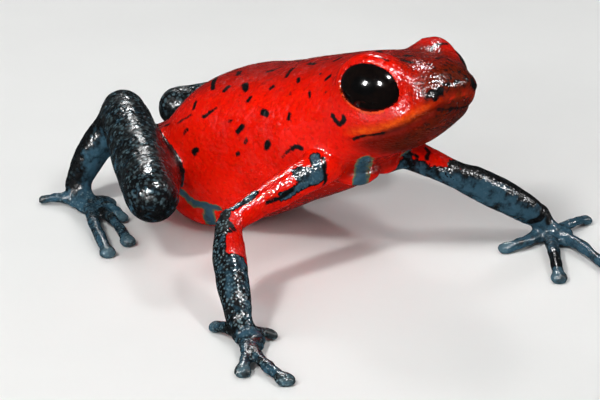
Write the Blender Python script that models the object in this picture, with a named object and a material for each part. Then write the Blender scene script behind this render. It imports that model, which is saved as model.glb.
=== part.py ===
"""A life-size museum model of a small poison dart frog, sitting up on its four limbs.

The frog faces -Y, its left side is +X, and it rests on Z = 0. Lengths below are in
millimetres, and they become metres where a mesh is made. The trunk and the head are one
loft of rounded sections along a bent spine, parted at the neck. Each limb is a chain of
tapered tubes, parted at its joints, and every hand and foot is a palm with its digits.
All of it is measured from the middle of the trunk, and an empty moves it so that the
origin lies under the middle of the whole frog.
"""

import bmesh
import bpy
import numpy as np
from mathutils import Matrix, Vector

MM = 0.001
GAP = 0.3
COLLECTION = "dart_frog"
TRUNK_PLACE = (0.74, 2.46, 0.0)

# The spine from the rump to the tip of the snout: how far back and how high it runs, the
# half width of the body, its height above and below the spine, and its squareness.
SPINE = (
    (8.15, 1.30, 0.05, 0.05, 0.05, 2.0),
    (7.95, 1.40, 0.80, 0.62, 0.70, 2.0),
    (7.10, 1.70, 1.80, 1.30, 1.50, 2.2),
    (5.00, 2.40, 3.05, 1.98, 2.90, 2.5),
    (1.90, 3.80, 3.62, 3.18, 3.70, 2.6),
    (-1.20, 5.15, 3.55, 2.95, 3.45, 2.3),
    (-3.70, 6.15, 3.30, 2.88, 3.05, 2.2),
    (-5.60, 6.95, 3.15, 2.75, 2.20, 2.2),
    (-7.60, 7.95, 3.02, 2.34, 1.98, 2.3),
    (-8.85, 8.60, 2.50, 1.88, 1.66, 2.3),
    (-9.80, 9.09, 1.90, 1.42, 1.30, 2.3),
    (-10.33, 9.31, 1.42, 1.04, 0.96, 2.4),
    (-10.59, 9.39, 0.96, 0.70, 0.70, 2.3),
    (-10.71, 9.42, 0.56, 0.42, 0.44, 2.2),
    (-10.75, 9.42, 0.05, 0.05, 0.05, 2.0),
)
THINNEST = 0.02
NECK_STATION = 7
HEAD_YAW = -5.0
HEAD_ROLL = -4.0
NECK_LENGTH = 3.0
BODY_RINGS = 42
BODY_SIDES = 28
RINGS_TOWARDS_ENDS = 0.45

# The eyes stand out of raised brows, and a lid rims each one. Their radii run along the
# head, upwards and outwards.
EYE = (2.30, -7.52, 8.93)
EYE_OUTWARD = (0.92, -0.28, 0.28)
EYE_RADII = (1.43, 1.14, 1.20)
BROW_RADII = (1.92, 1.62, 1.46)
BROW_INSET = 0.20
LID_RADIUS = 0.17
LID_HEIGHT = 0.42

# Limb joints, from the root outwards.
ARM_RIGHT = ((-2.7, -5.25, 5.2), (-8.16, -4.28, 3.8), (-11.1, -7.62, 0.95))
ARM_LEFT = ((1.7, -4.4, 4.95), (2.13, -8.5, 4.17), (6.36, -10.19, 1.22))
LEG_RIGHT = ((-1.6, 7.0, 2.3), (-7.38, 1.08, 3.3), (-2.65, 7.38, 4.5), (-4.4, 8.78, 1.0))
LEG_LEFT = ((1.6, 7.0, 2.3), (9.0, 3.0, 2.9), (3.95, 10.05, 2.15), (7.3, 7.4, 1.0))

# How far the middle of each limb segment is moved off its straight line.
ARM_RIGHT_BOWS = ((0.0, 0.0, 0.0), (-0.1, 0.12, 0.0))
ARM_LEFT_BOWS = ((0.0, 0.0, 0.0), (0.0, 0.0, 0.1))
LEG_RIGHT_BOWS = ((0.0, 0.0, 0.0), (0.0, 0.0, 0.0), (-0.13, 0.15, 0.0))
LEG_LEFT_BOWS = ((0.0, 0.0, 0.0), (0.0, 0.0, 0.0), (0.0, 0.0, 0.0))

# The radius of each limb segment at shares of its length.
UPPER_ARM = ((0.0, 0.85), (0.4, 0.74), (0.75, 0.65), (1.0, 0.62))
FOREARM = ((0.0, 0.64), (0.3, 0.74), (0.7, 0.71), (1.0, 0.58))
THIGH = ((0.0, 1.30), (0.35, 1.46), (0.75, 1.38), (1.0, 1.20))
SHANK = ((0.0, 1.24), (0.35, 1.27), (0.7, 1.22), (1.0, 1.07))
TARSUS = ((0.0, 0.84), (0.3, 0.83), (0.7, 0.76), (1.0, 0.58))
TUBE_STEPS = 9
CAP_TURNS = (82.0, 55.0, 27.0)

# Each hand or foot: the middle of its palm, then for each digit its root, how far it bows
# to its left, its tip and the radius of its disc.
HAND_RIGHT = (
    (-11.15, -8.15),
    (
        ((-11.0, -8.2), 0.10, (-10.05, -8.55), 0.33),
        ((-11.3, -8.5), -0.45, (-13.20, -12.14), 0.41),
        ((-11.4, -8.2), 0.10, (-13.78, -10.18), 0.35),
        ((-11.1, -7.8), 0.10, (-10.98, -6.08), 0.34),
    ),
)
HAND_LEFT = (
    (6.80, -10.75),
    (
        ((6.3, -10.2), 0.40, (4.16, -9.95), 0.31),
        ((6.2, -11.0), 0.00, (3.08, -13.98), 0.34),
        ((6.8, -11.2), 0.10, (5.02, -15.47), 0.38),
        ((7.2, -10.6), -0.10, (9.34, -10.62), 0.33),
    ),
)
FOOT_RIGHT = (
    (-4.75, 7.80),
    (
        ((-4.5, 7.6), 0.00, (-3.70, 7.20), 0.27),
        ((-4.6, 7.3), 0.10, (-4.70, 5.50), 0.29),
        ((-4.8, 7.2), 0.10, (-6.59, 3.38), 0.33),
        ((-4.9, 7.5), -0.15, (-8.15, 3.18), 0.35),
        ((-4.7, 8.2), 0.00, (-5.54, 9.95), 0.31),
    ),
)
FOOT_LEFT = (
    (7.75, 6.65),
    (
        ((7.5, 6.4), 0.00, (7.2, 4.90), 0.27),
        ((7.7, 6.2), 0.10, (8.5, 3.70), 0.29),
        ((7.9, 6.1), 0.10, (10.3, 2.60), 0.33),
        ((8.1, 6.2), -0.15, (12.3, 2.40), 0.35),
        ((8.1, 6.8), 0.00, (11.1, 5.60), 0.31),
    ),
)
PALM = (0.88, 0.61, 0.42)
PALM_HEIGHT = 0.36
WRIST_RADIUS = 0.55
WRIST_REACH = 0.4
DIGIT_RADIUS = (0.30, 0.26)
DIGIT_HEIGHT = 0.38
DIGIT_ARCH = 0.16
DIGIT_STEPS = 6
DISC_DEPTH = 0.26
DISC_HEIGHT = 0.20

# The mouth line and the nostrils, on the body's own stations and angles.
MOUTH = (
    (15.6, -22.5),
    (16.8, -29.3),
    (17.8, -36.0),
    (18.8, -41.5),
    (19.6, -43.0),
    (20.2, -50.0),
    (20.38, -62.0),
    (20.46, -90.0),
)
LIP_RADIUS = 0.28
LIP_SINK = 0.16
GROOVE_RADIUS = 0.12
GROOVE_SINK = -0.04
NOSTRIL = (20.22, 2.0)
NOSTRIL_RADIUS = 0.17

# Colours and roughness of the trunk and upper arms, of the other limbs and of the eyes.
RED = ((0.72, 0.045, 0.012), 0.35)
BLUE = ((0.045, 0.075, 0.13), 0.35)
BLACK = ((0.004, 0.004, 0.004), 0.05)


# Setting up

def clear_scene():
    for obj in list(bpy.data.objects):
        bpy.data.objects.remove(obj, do_unlink=True)


def new_collection(name, hidden=False):
    made = bpy.data.collections.new(name)
    bpy.context.scene.collection.children.link(made)
    made.hide_render = hidden
    return made


def surface_material(name, look):
    colour, roughness = look
    material = bpy.data.materials.new(name)
    material.use_nodes = True
    shader = material.node_tree.nodes["Principled BSDF"]
    shader.inputs["Base Color"].default_value = (*colour, 1.0)
    shader.inputs["Roughness"].default_value = roughness
    return material


# Small geometry helpers

def smooth_through(knots, values, at):
    """A smooth curve through the values at the knots, read at other places."""
    knots = np.asarray(knots, float)
    values = np.asarray(values, float)
    at = np.asarray(at, float)
    steps = np.diff(knots)
    rises = np.diff(values) / steps
    slopes = np.empty_like(values)
    slopes[0] = rises[0]
    slopes[-1] = rises[-1]
    slopes[1:-1] = (rises[:-1] * steps[1:] + rises[1:] * steps[:-1]) / (steps[:-1] + steps[1:])
    index = np.clip(np.searchsorted(knots, at, side="right") - 1, 0, len(steps) - 1)
    t = (at - knots[index]) / steps[index]
    h = steps[index]
    rising = t * t * (3.0 - 2.0 * t)
    return (
        values[index] * (1.0 - rising)
        + values[index + 1] * rising
        + h * slopes[index] * t * (1.0 - t) ** 2
        - h * slopes[index + 1] * t * t * (1.0 - t)
    )


def mesh_object(name, points, faces, collection):
    mesh = bpy.data.meshes.new(name)
    mesh.from_pydata([Vector(p) * MM for p in points], [], faces)
    obj = bpy.data.objects.new(name, mesh)
    collection.objects.link(obj)
    clean_normals(obj)
    return obj


def clean_normals(obj):
    shape = bmesh.new()
    shape.from_mesh(obj.data)
    bmesh.ops.recalc_face_normals(shape, faces=shape.faces[:])
    shape.to_mesh(obj.data)
    shape.free()


def apply_modifiers(obj):
    graph = bpy.context.evaluated_depsgraph_get()
    mesh = bpy.data.meshes.new_from_object(obj.evaluated_get(graph))
    obj.modifiers.clear()
    old = obj.data
    obj.data = mesh
    bpy.data.meshes.remove(old)


def keep_largest(obj):
    """Only the object's largest closed surface stays."""
    shape = bmesh.new()
    shape.from_mesh(obj.data)
    left = set(shape.faces)
    largest = []
    while left:
        reached = [left.pop()]
        piece = []
        while reached:
            face = reached.pop()
            piece.append(face)
            for edge in face.edges:
                for other in edge.link_faces:
                    if other in left:
                        left.remove(other)
                        reached.append(other)
        if len(piece) > len(largest):
            largest = piece
    kept = set(largest)
    bmesh.ops.delete(shape, geom=[f for f in shape.faces if f not in kept], context="FACES")
    loose = [v for v in shape.verts if not v.link_faces]
    bmesh.ops.delete(shape, geom=loose, context="VERTS")
    shape.to_mesh(obj.data)
    shape.free()


def boolean(obj, others, operation):
    """Joins the others to the object or cuts them from it, and removes them."""
    bpy.context.view_layer.update()
    group = bpy.data.collections.new("pieces")
    bpy.context.scene.collection.children.link(group)
    for other in others:
        for home in list(other.users_collection):
            home.objects.unlink(other)
        group.objects.link(other)
    modifier = obj.modifiers.new("shape", "BOOLEAN")
    modifier.operation = operation
    modifier.operand_type = "COLLECTION"
    modifier.collection = group
    modifier.solver = "EXACT"
    apply_modifiers(obj)
    for other in others:
        bpy.data.objects.remove(other, do_unlink=True)
    bpy.data.collections.remove(group)
    keep_largest(obj)


def trim(obj, point, away):
    """Cuts the object flat at a plane and closes it, leaving the side that the normal leaves."""
    shape = bmesh.new()
    shape.from_mesh(obj.data)
    geometry = shape.verts[:] + shape.edges[:] + shape.faces[:]
    cut = bmesh.ops.bisect_plane(
        shape,
        geom=geometry,
        dist=1e-8,
        plane_co=Vector(point) * MM,
        plane_no=Vector(away),
        clear_outer=True,
    )
    rim = [e for e in cut["geom_cut"] if isinstance(e, bmesh.types.BMEdge)]
    if rim:
        bmesh.ops.holes_fill(shape, edges=rim, sides=0)
    bmesh.ops.recalc_face_normals(shape, faces=shape.faces[:])
    shape.to_mesh(obj.data)
    shape.free()
    keep_largest(obj)


def rest_flat(obj):
    trim(obj, (0.0, 0.0, 0.0), (0.0, 0.0, -1.0))


# The body

def spine_length():
    """How far along the spine each station lies."""
    places = np.array([(row[0], row[1]) for row in SPINE])
    return np.concatenate([[0.0], np.cumsum(np.linalg.norm(np.diff(places, axis=0), axis=1))])


def body_frame(along):
    """The spine's point, its upward normal and the body's sizes at a distance along it."""
    knots = spine_length()
    y, z, wide, up, down, square = (
        smooth_through(knots, [row[i] for row in SPINE], along) for i in range(6)
    )
    wide, up, down = (np.maximum(size, THINNEST) for size in (wide, up, down))
    step = 0.05
    ahead = np.clip(along + step, 0.0, knots[-1])
    behind = np.clip(along - step, 0.0, knots[-1])
    run_y = smooth_through(knots, [r[0] for r in SPINE], ahead)
    run_y = run_y - smooth_through(knots, [r[0] for r in SPINE], behind)
    run_z = smooth_through(knots, [r[1] for r in SPINE], ahead)
    run_z = run_z - smooth_through(knots, [r[1] for r in SPINE], behind)
    size = np.hypot(run_y, run_z)
    return y, z, -run_y / size, run_z / size, wide, up, down, square


def turn_head(points, along):
    """The head's yaw and roll about the neck, growing in over the neck's length."""
    knots = spine_length()
    pivot = np.array([0.0, SPINE[NECK_STATION][0], SPINE[NECK_STATION][1]])
    share = np.clip((along - knots[NECK_STATION]) / NECK_LENGTH + 0.5, 0.0, 1.0)
    share = share * share * (3.0 - 2.0 * share)
    yaw = np.radians(HEAD_YAW) * share
    roll = np.radians(HEAD_ROLL) * share
    x, y, z = (points - pivot).T
    x, z = x * np.cos(roll) - z * np.sin(roll), x * np.sin(roll) + z * np.cos(roll)
    x, y = x * np.cos(yaw) - y * np.sin(yaw), x * np.sin(yaw) + y * np.cos(yaw)
    return np.stack([x, y, z], axis=1) + pivot


def body_point(along, angle, grow=0.0):
    """Points on the body's skin: a distance along the spine and an angle round it.

    At a section the half width times the cosine, and the height above or below times the
    sine, are bent towards a rounded square, and the head is then turned.
    """
    along = np.atleast_1d(np.asarray(along, float))
    angle = np.radians(np.atleast_1d(np.asarray(angle, float)))
    y, z, rise, lean, wide, up, down, square = body_frame(along)
    c = np.cos(angle)
    s = np.sin(angle)
    x = (wide + grow) * np.sign(c) * np.abs(c) ** (2.0 / square)
    tall = np.where(s > 0.0, up, down) + grow
    h = tall * np.sign(s) * np.abs(s) ** (2.0 / square)
    points = np.stack([x, y + h * lean, z + h * rise], axis=1)
    return turn_head(points, along)


def body_mesh(name, collection, grow=0.0):
    knots = spine_length()
    ends = (1.0 - np.cos(np.linspace(0.0, np.pi, BODY_RINGS))) / 2.0
    even = np.linspace(0.0, 1.0, BODY_RINGS)
    stations = (even + RINGS_TOWARDS_ENDS * (ends - even)) * knots[-1]
    turns = np.linspace(0.0, 360.0, BODY_SIDES, endpoint=False)
    points = []
    for station in stations:
        points.extend(body_point(np.full(BODY_SIDES, station), turns, grow))
    faces = []
    for ring in range(BODY_RINGS - 1):
        for side in range(BODY_SIDES):
            after = (side + 1) % BODY_SIDES
            a = ring * BODY_SIDES
            b = a + BODY_SIDES
            faces.append((a + side, a + after, b + after, b + side))
    faces.append(tuple(range(BODY_SIDES)))
    last = (BODY_RINGS - 1) * BODY_SIDES
    faces.append(tuple(last + side for side in range(BODY_SIDES)))
    return mesh_object(name, points, faces, collection)


# Round pieces

def ball(name, centre, radii, collection, segments=20, rings=12, axes=None):
    """An ellipsoid: its radii run along the three axes, which are X, Y and Z if none are given."""
    bpy.ops.mesh.primitive_uv_sphere_add(segments=segments, ring_count=rings, radius=1.0)
    obj = bpy.context.active_object
    obj.name = name
    obj.data.name = name
    sizes = np.broadcast_to(np.asarray(radii, float), (3,)) * MM
    turned = Matrix.Identity(3) if axes is None else Matrix(axes).transposed()
    place = Matrix.Translation(Vector(centre) * MM) @ turned.to_4x4()
    obj.data.transform(place @ Matrix.Diagonal((*sizes, 1.0)))
    for home in list(obj.users_collection):
        home.objects.unlink(obj)
    collection.objects.link(obj)
    return obj


def tube(name, points, radii, collection, resolution=4, cyclic=False):
    """A tapered tube along the points, made a mesh with its ends closed."""
    data = bpy.data.curves.new(name + "_path", "CURVE")
    data.dimensions = "3D"
    data.bevel_depth = MM
    data.bevel_resolution = resolution
    data.use_fill_caps = not cyclic
    spline = data.splines.new("POLY")
    spline.points.add(len(points) - 1)
    for place, point, radius in zip(spline.points, points, radii):
        place.co = (*(Vector(point) * MM), 1.0)
        place.radius = radius
    spline.use_cyclic_u = cyclic
    curve = bpy.data.objects.new(name + "_path", data)
    collection.objects.link(curve)
    bpy.context.view_layer.update()
    graph = bpy.context.evaluated_depsgraph_get()
    mesh = bpy.data.meshes.new_from_object(curve.evaluated_get(graph))
    mesh.name = name
    obj = bpy.data.objects.new(name, mesh)
    obj.matrix_world = curve.matrix_world
    bpy.data.objects.remove(curve, do_unlink=True)
    bpy.data.curves.remove(data)
    collection.objects.link(obj)
    shape = bmesh.new()
    shape.from_mesh(mesh)
    bmesh.ops.remove_doubles(shape, verts=shape.verts[:], dist=1e-7)
    bmesh.ops.recalc_face_normals(shape, faces=shape.faces[:])
    shape.to_mesh(mesh)
    shape.free()
    return obj


def limb_tube(name, start, end, profile, bow, collection):
    """A limb segment: its radius follows the profile, its middle is moved by the bow, and
    rounded ends run past both joints."""
    start = np.array(start, float)
    end = np.array(end, float)
    length = np.linalg.norm(end - start)
    shares = [row[0] for row in profile]
    radii = [row[1] for row in profile]
    middle = np.linspace(0.0, 1.0, TUBE_STEPS)
    middle_radii = smooth_through(shares, radii, middle)
    cap = np.radians(CAP_TURNS)
    before = -np.sin(cap) * radii[0] / length
    after = 1.0 + np.sin(cap[::-1]) * radii[-1] / length
    at = np.concatenate([before, middle, after])
    sizes = np.concatenate([np.cos(cap) * radii[0], middle_radii, np.cos(cap[::-1]) * radii[-1]])
    inside = np.clip(at, 0.0, 1.0)
    points = start + np.outer(at, end - start) + np.outer(4.0 * inside * (1.0 - inside), bow)
    return tube(name, points, sizes, collection, resolution=4)


# Parting a limb at its joints

def unit(vector):
    vector = np.asarray(vector, float)
    return vector / np.linalg.norm(vector)


def joint_plane(before, joint, after):
    """The plane that halves a bend: its normal points from the outer segment to the inner one."""
    inner = unit(np.subtract(before, joint))
    outer = unit(np.subtract(after, joint))
    return unit(inner - outer)


def part_at(obj, joint, normal, inner):
    """Trims a segment at a joint, half a gap short of the plane."""
    side = 1.0 if inner else -1.0
    point = np.array(joint) + side * normal * GAP / 2.0
    trim(obj, point, -side * normal)


def finish(obj, look, collection, place):
    """Moves a finished sub-part to the frog's collection, under its empty."""
    for home in list(obj.users_collection):
        home.objects.unlink(obj)
    collection.objects.link(obj)
    obj.parent = place
    obj.data.materials.clear()
    obj.data.materials.append(surface_material(obj.name + "_surface", look))
    obj.data.shade_smooth()


# The sub-parts

def eye_place(side):
    """The centre of an eye and its three axes: along the head, upwards and outwards."""
    knots = spine_length()
    centre = np.array([[side * EYE[0], EYE[1], EYE[2]]])
    ahead = centre + np.array([[side * EYE_OUTWARD[0], EYE_OUTWARD[1], EYE_OUTWARD[2]]])
    station = np.full(1, knots[-1])
    turned = turn_head(centre, station)[0]
    outward = unit(turn_head(ahead, station)[0] - turned)
    along = unit(np.cross((0.0, 0.0, 1.0), outward))
    upward = np.cross(outward, along)
    return turned, np.array([along, upward, outward])


def lid_points(centre, axes, count=20):
    """A ring round the eye, where the lid meets it."""
    outwards = LID_HEIGHT * EYE_RADII[2]
    share = np.sqrt(1.0 - LID_HEIGHT**2)
    edge = GAP + 0.5 * LID_RADIUS
    turns = np.linspace(0.0, 2.0 * np.pi, count, endpoint=False)[:, None]
    ring = np.cos(turns) * axes[0] * (EYE_RADII[0] * share + edge)
    ring = ring + np.sin(turns) * axes[1] * (EYE_RADII[1] * share + edge)
    return centre + outwards * axes[2] + ring


def mouth_tube(name, radius, sink, work):
    """A tube that follows the mouth from corner to corner, its middle sunk in the skin."""
    line = mouth_line(-sink)
    return tube(name, line, [radius] * len(line), work, resolution=1)


def make_head(body, work):
    pieces = [mouth_tube("lips", LIP_RADIUS, LIP_SINK, work)]
    for side in (-1.0, 1.0):
        centre, axes = eye_place(side)
        pieces.append(ball("brow", centre - BROW_INSET * axes[2], BROW_RADII, work, axes=axes))
        ring = lid_points(centre, axes)
        radii = [LID_RADIUS] * len(ring)
        pieces.append(tube("lid", ring, radii, work, resolution=1, cyclic=True))
    boolean(body, pieces, "UNION")
    cuts = []
    socket = np.array(EYE_RADII) + GAP
    for side in (-1.0, 1.0):
        centre, axes = eye_place(side)
        cuts.append(ball("socket", centre, socket, work, axes=axes))
        station, angle = NOSTRIL
        turn = angle if side > 0.0 else 180.0 - angle
        cuts.append(ball("nostril", body_point(station, turn)[0], NOSTRIL_RADIUS, work, 10, 6))
    cuts.append(mouth_tube("mouth", GROOVE_RADIUS, GROOVE_SINK, work))
    boolean(body, cuts, "DIFFERENCE")


def mouth_line(grow=0.0, steps=17):
    """The mouth from the right corner round the front to the left one."""
    rows = np.arange(len(MOUTH))
    shares = np.linspace(0.0, rows[-1], steps)
    at, turn = (smooth_through(rows, [row[i] for row in MOUTH], shares) for i in range(2))
    right = body_point(at, 180.0 - turn, grow)
    left = body_point(at, turn, grow)
    return list(right) + list(left[::-1][1:])


def make_digit(name, root, bow, tip, disc, work):
    root = np.array([*root, DIGIT_HEIGHT])
    tip = np.array([*tip, DISC_HEIGHT])
    ahead = unit(tip - root)
    aside = np.array([-ahead[1], ahead[0], 0.0])
    shares = np.linspace(0.0, 1.0, DIGIT_STEPS)
    arch = np.sin(np.pi * shares)
    points = root + np.outer(shares, tip - root) + np.outer(arch * bow, aside)
    points[:, 2] += arch * DIGIT_ARCH
    radii = np.interp(shares, (0.0, 1.0), DIGIT_RADIUS)
    stem = tube(name, points, radii, work, resolution=2)
    sizes = (disc, disc * 0.92, DISC_DEPTH)
    return [stem, ball(name + "_disc", tip, sizes, work, 10, 6)]


def make_hand(name, palm_row, joint, before, normal, work):
    """A palm with its digits and a stub up to the wrist, flat on the floor."""
    middle, digits = palm_row
    centre = np.array([*middle, PALM_HEIGHT])
    towards = unit([middle[0] - joint[0], middle[1] - joint[1], 0.0])
    axes = (towards, (-towards[1], towards[0], 0.0), (0.0, 0.0, 1.0))
    palm = ball(name, centre, PALM, work, 16, 10, axes)
    past = np.array(joint) + WRIST_REACH * unit(np.subtract(before, joint))
    points = past + np.outer(np.linspace(0.0, 1.0, 4), centre - past)
    stub = tube("stub", points, [WRIST_RADIUS] * 4, work)
    boolean(palm, [stub], "UNION")
    part_at(palm, joint, normal, inner=False)
    pieces = []
    for number, (root, bow, tip, disc) in enumerate(digits):
        pieces += make_digit(f"digit_{number}", root, bow, tip, disc, work)
    boolean(palm, pieces, "UNION")
    rest_flat(palm)
    return palm


def make_limb(names, joints, profiles, bows, hand, trunk_cutter, work):
    """The segments from the root to the last joint, then the hand or foot."""
    made = []
    count = len(profiles)
    normals = []
    for i in range(1, count):
        normals.append(joint_plane(joints[i - 1], joints[i], joints[i + 1]))
    palm_middle = (*hand[0], PALM_HEIGHT)
    normals.append(joint_plane(joints[count - 1], joints[count], palm_middle))
    for i, profile in enumerate(profiles):
        segment = limb_tube(names[i], joints[i], joints[i + 1], profile, bows[i], work)
        if i == 0:
            cutter = trunk_cutter.copy()
            cutter.data = trunk_cutter.data.copy()
            work.objects.link(cutter)
            boolean(segment, [cutter], "DIFFERENCE")
        else:
            part_at(segment, joints[i], normals[i - 1], inner=False)
        part_at(segment, joints[i + 1], normals[i], inner=True)
        made.append(segment)
    made.append(make_hand(names[count], hand, joints[count], joints[count - 1], normals[-1], work))
    return made


def main():
    clear_scene()
    parts = new_collection(COLLECTION)
    work = new_collection("cutters", hidden=True)
    place = bpy.data.objects.new(COLLECTION, None)
    place.location = Vector(TRUNK_PLACE) * MM
    parts.objects.link(place)

    knots = spine_length()
    neck = np.array([0.0, SPINE[NECK_STATION][0], SPINE[NECK_STATION][1]])
    _, _, rise, lean, *_ = body_frame(np.array([knots[NECK_STATION]]))
    forward = unit(np.array([0.0, -rise[0], lean[0]]))

    torso = body_mesh("torso", work)
    trim(torso, neck - forward * GAP / 2.0, forward)
    rest_flat(torso)
    finish(torso, RED, parts, place)

    head = body_mesh("head", work)
    trim(head, neck + forward * GAP / 2.0, -forward)
    make_head(head, work)
    trim(head, neck + forward * GAP / 2.0, -forward)
    finish(head, RED, parts, place)

    for side, name in ((-1.0, "eye_right"), (1.0, "eye_left")):
        centre, axes = eye_place(side)
        finish(ball(name, centre, EYE_RADII, work, axes=axes), BLACK, parts, place)

    trunk_cutter = body_mesh("trunk_cutter", work, GAP)
    arm = (("upper_arm", RED), ("forearm", BLUE), ("hand", BLUE))
    leg = (("thigh", BLUE), ("shank", BLUE), ("tarsus", BLUE), ("foot", BLUE))
    for side, limb, joints, bows, profiles, hand in (
        ("right", arm, ARM_RIGHT, ARM_RIGHT_BOWS, (UPPER_ARM, FOREARM), HAND_RIGHT),
        ("left", arm, ARM_LEFT, ARM_LEFT_BOWS, (UPPER_ARM, FOREARM), HAND_LEFT),
        ("right", leg, LEG_RIGHT, LEG_RIGHT_BOWS, (THIGH, SHANK, TARSUS), FOOT_RIGHT),
        ("left", leg, LEG_LEFT, LEG_LEFT_BOWS, (THIGH, SHANK, TARSUS), FOOT_LEFT),
    ):
        names = [f"{side}_{segment}" for segment, _ in limb]
        pieces = make_limb(names, joints, profiles, bows, hand, trunk_cutter, work)
        for piece, (_, look) in zip(pieces, limb):
            finish(piece, look, parts, place)

    for obj in list(work.objects):
        bpy.data.objects.remove(obj, do_unlink=True)
    bpy.data.collections.remove(work)


main()
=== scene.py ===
import math

import bpy
import numpy as np
from bpy.props import FloatProperty, FloatVectorProperty, IntProperty, PointerProperty
from mathutils import Matrix, Vector


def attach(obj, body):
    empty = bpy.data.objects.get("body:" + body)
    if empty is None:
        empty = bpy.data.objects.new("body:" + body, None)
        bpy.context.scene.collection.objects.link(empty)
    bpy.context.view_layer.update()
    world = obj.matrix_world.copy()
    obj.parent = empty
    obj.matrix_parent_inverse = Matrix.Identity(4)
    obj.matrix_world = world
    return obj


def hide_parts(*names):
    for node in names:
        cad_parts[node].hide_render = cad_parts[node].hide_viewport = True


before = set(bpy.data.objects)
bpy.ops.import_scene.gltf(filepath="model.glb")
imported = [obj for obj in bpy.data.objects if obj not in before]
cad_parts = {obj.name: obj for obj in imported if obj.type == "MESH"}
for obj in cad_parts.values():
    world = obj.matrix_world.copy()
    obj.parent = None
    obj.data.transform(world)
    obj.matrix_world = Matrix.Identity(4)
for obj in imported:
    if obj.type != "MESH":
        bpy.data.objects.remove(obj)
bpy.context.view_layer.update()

bl_info = {
    "name": "Dart Frog Skin",
    "version": (1, 0, 0),
    "blender": (4, 5, 0),
    "location": "View3D > Sidebar > Dart Frog",
    "description": "Wet, spotted skin and glossy eyes for a life-size model of a small dart frog",
    "category": "Add Mesh",
}

# Shapes are worked out in millimetres from the middle of the trunk: the frog faces -Y, its
# left side is +X and it rests on Z = 0. TRUNK_PLACE moves them over the frame's origin.
MM = 0.001
TRUNK_PLACE = np.array((0.74, 2.46, 0.0))

# The spine from the rump to the tip of the snout: how far back and how high it runs, the
# half width of the body, its height above and below the spine, and its squareness.
SPINE = (
    (8.15, 1.30, 0.05, 0.05, 0.05, 2.0),
    (7.95, 1.40, 0.80, 0.62, 0.70, 2.0),
    (7.10, 1.70, 1.80, 1.30, 1.50, 2.2),
    (5.00, 2.40, 3.05, 1.98, 2.90, 2.5),
    (1.90, 3.80, 3.62, 3.18, 3.70, 2.6),
    (-1.20, 5.15, 3.55, 2.95, 3.45, 2.3),
    (-3.70, 6.15, 3.30, 2.88, 3.05, 2.2),
    (-5.60, 6.95, 3.15, 2.75, 2.20, 2.2),
    (-7.60, 7.95, 3.02, 2.34, 1.98, 2.3),
    (-8.85, 8.60, 2.50, 1.88, 1.66, 2.3),
    (-9.80, 9.09, 1.90, 1.42, 1.30, 2.3),
    (-10.33, 9.31, 1.42, 1.04, 0.96, 2.4),
    (-10.59, 9.39, 0.96, 0.70, 0.70, 2.3),
    (-10.71, 9.42, 0.56, 0.42, 0.44, 2.2),
    (-10.75, 9.42, 0.05, 0.05, 0.05, 2.0),
)
# The least that a size of the body shrinks to, and the step to each side over which the
# spine's slope is measured
THINNEST = 0.02
SLOPE_STEP = 0.05
# The row of the spine's table that the head turns about, over how much of the spine to each
# side of it, and its turns in degrees
NECK_STATION = 7
NECK_REACH = 1.5
HEAD_YAW = -5.0
HEAD_ROLL = -4.0

# The left eye before the head is turned: its centre, the way it looks, and its radii towards
# the snout, upwards and outwards. The brow is an ellipsoid set further in and higher.
EYE = (2.17, -7.63, 9.07)
EYE_OUTWARD = (0.92, -0.28, 0.28)
EYE_RADII = (1.54, 1.18, 1.00)
BROW_RADII = (1.98, 1.45, 1.10)
BROW_INSET = 0.18
BROW_LIFT = 0.20
# How much of the ball the lids leave open, at every 20 degrees round it from behind, over
# below, the front and the top
OPENING = (
    0.93, 0.90, 0.89, 0.90, 0.925, 0.95, 0.955, 0.965, 0.99,
    0.965, 0.93, 0.905, 0.885, 0.875, 0.875, 0.90, 0.94, 0.955,
)
# The ridge over the left eye, from its back to the nostril, before the head is turned
RIDGE = ((2.35, -7.0, 10.25), (2.28, -7.7, 10.35), (2.02, -8.45, 10.25), (1.72, -9.3, 9.95))
RIDGE_HEIGHT = 0.09
RIDGE_WIDTH = 0.40
# In an eye's own frame, divided by its radii: how far the skin lies under the ball inside the
# opening, how far out the lid is kept, and how near to the opening's edge points move onto it
SINK = 0.13
CLEAR = 1.04
SNAP = 0.05
# How much flatter than wide the pupil is
PUPIL_SQUASH = 1.15

# The joints of each limb from the trunk outwards, and how far the middle of each of its
# segments is moved off the straight line
ARM_RIGHT = ((-2.7, -5.25, 5.2), (-8.16, -4.28, 3.8), (-11.1, -7.62, 0.95))
ARM_LEFT = ((1.7, -4.4, 4.95), (2.13, -8.5, 4.17), (6.36, -10.19, 1.22))
LEG_RIGHT = ((-1.6, 7.0, 2.3), (-7.38, 1.08, 3.3), (-2.65, 7.38, 4.5), (-4.4, 8.78, 1.0))
LEG_LEFT = ((1.6, 7.0, 2.3), (9.0, 3.0, 2.9), (3.95, 10.05, 2.15), (7.3, 7.4, 1.0))
STRAIGHT = (0.0, 0.0, 0.0)
ARM_RIGHT_BOWS = (STRAIGHT, (-0.1, 0.12, 0.0))
ARM_LEFT_BOWS = (STRAIGHT, (0.0, 0.0, 0.1))
LEG_RIGHT_BOWS = (STRAIGHT, STRAIGHT, (-0.13, 0.15, 0.0))
LEG_LEFT_BOWS = (STRAIGHT, STRAIGHT, STRAIGHT)

# The radii of each kind of segment, as shares of its length and the radius there
UPPER_ARM = ((0.0, 0.85), (0.4, 0.74), (0.75, 0.65), (1.0, 0.62))
FOREARM = ((0.0, 0.64), (0.3, 0.74), (0.7, 0.71), (1.0, 0.58))
THIGH = ((0.0, 1.30), (0.35, 1.46), (0.75, 1.38), (1.0, 1.20))
SHANK = ((0.0, 1.24), (0.35, 1.27), (0.7, 1.22), (1.0, 1.07))
TARSUS = ((0.0, 0.84), (0.3, 0.83), (0.7, 0.76), (1.0, 0.58))
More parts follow.
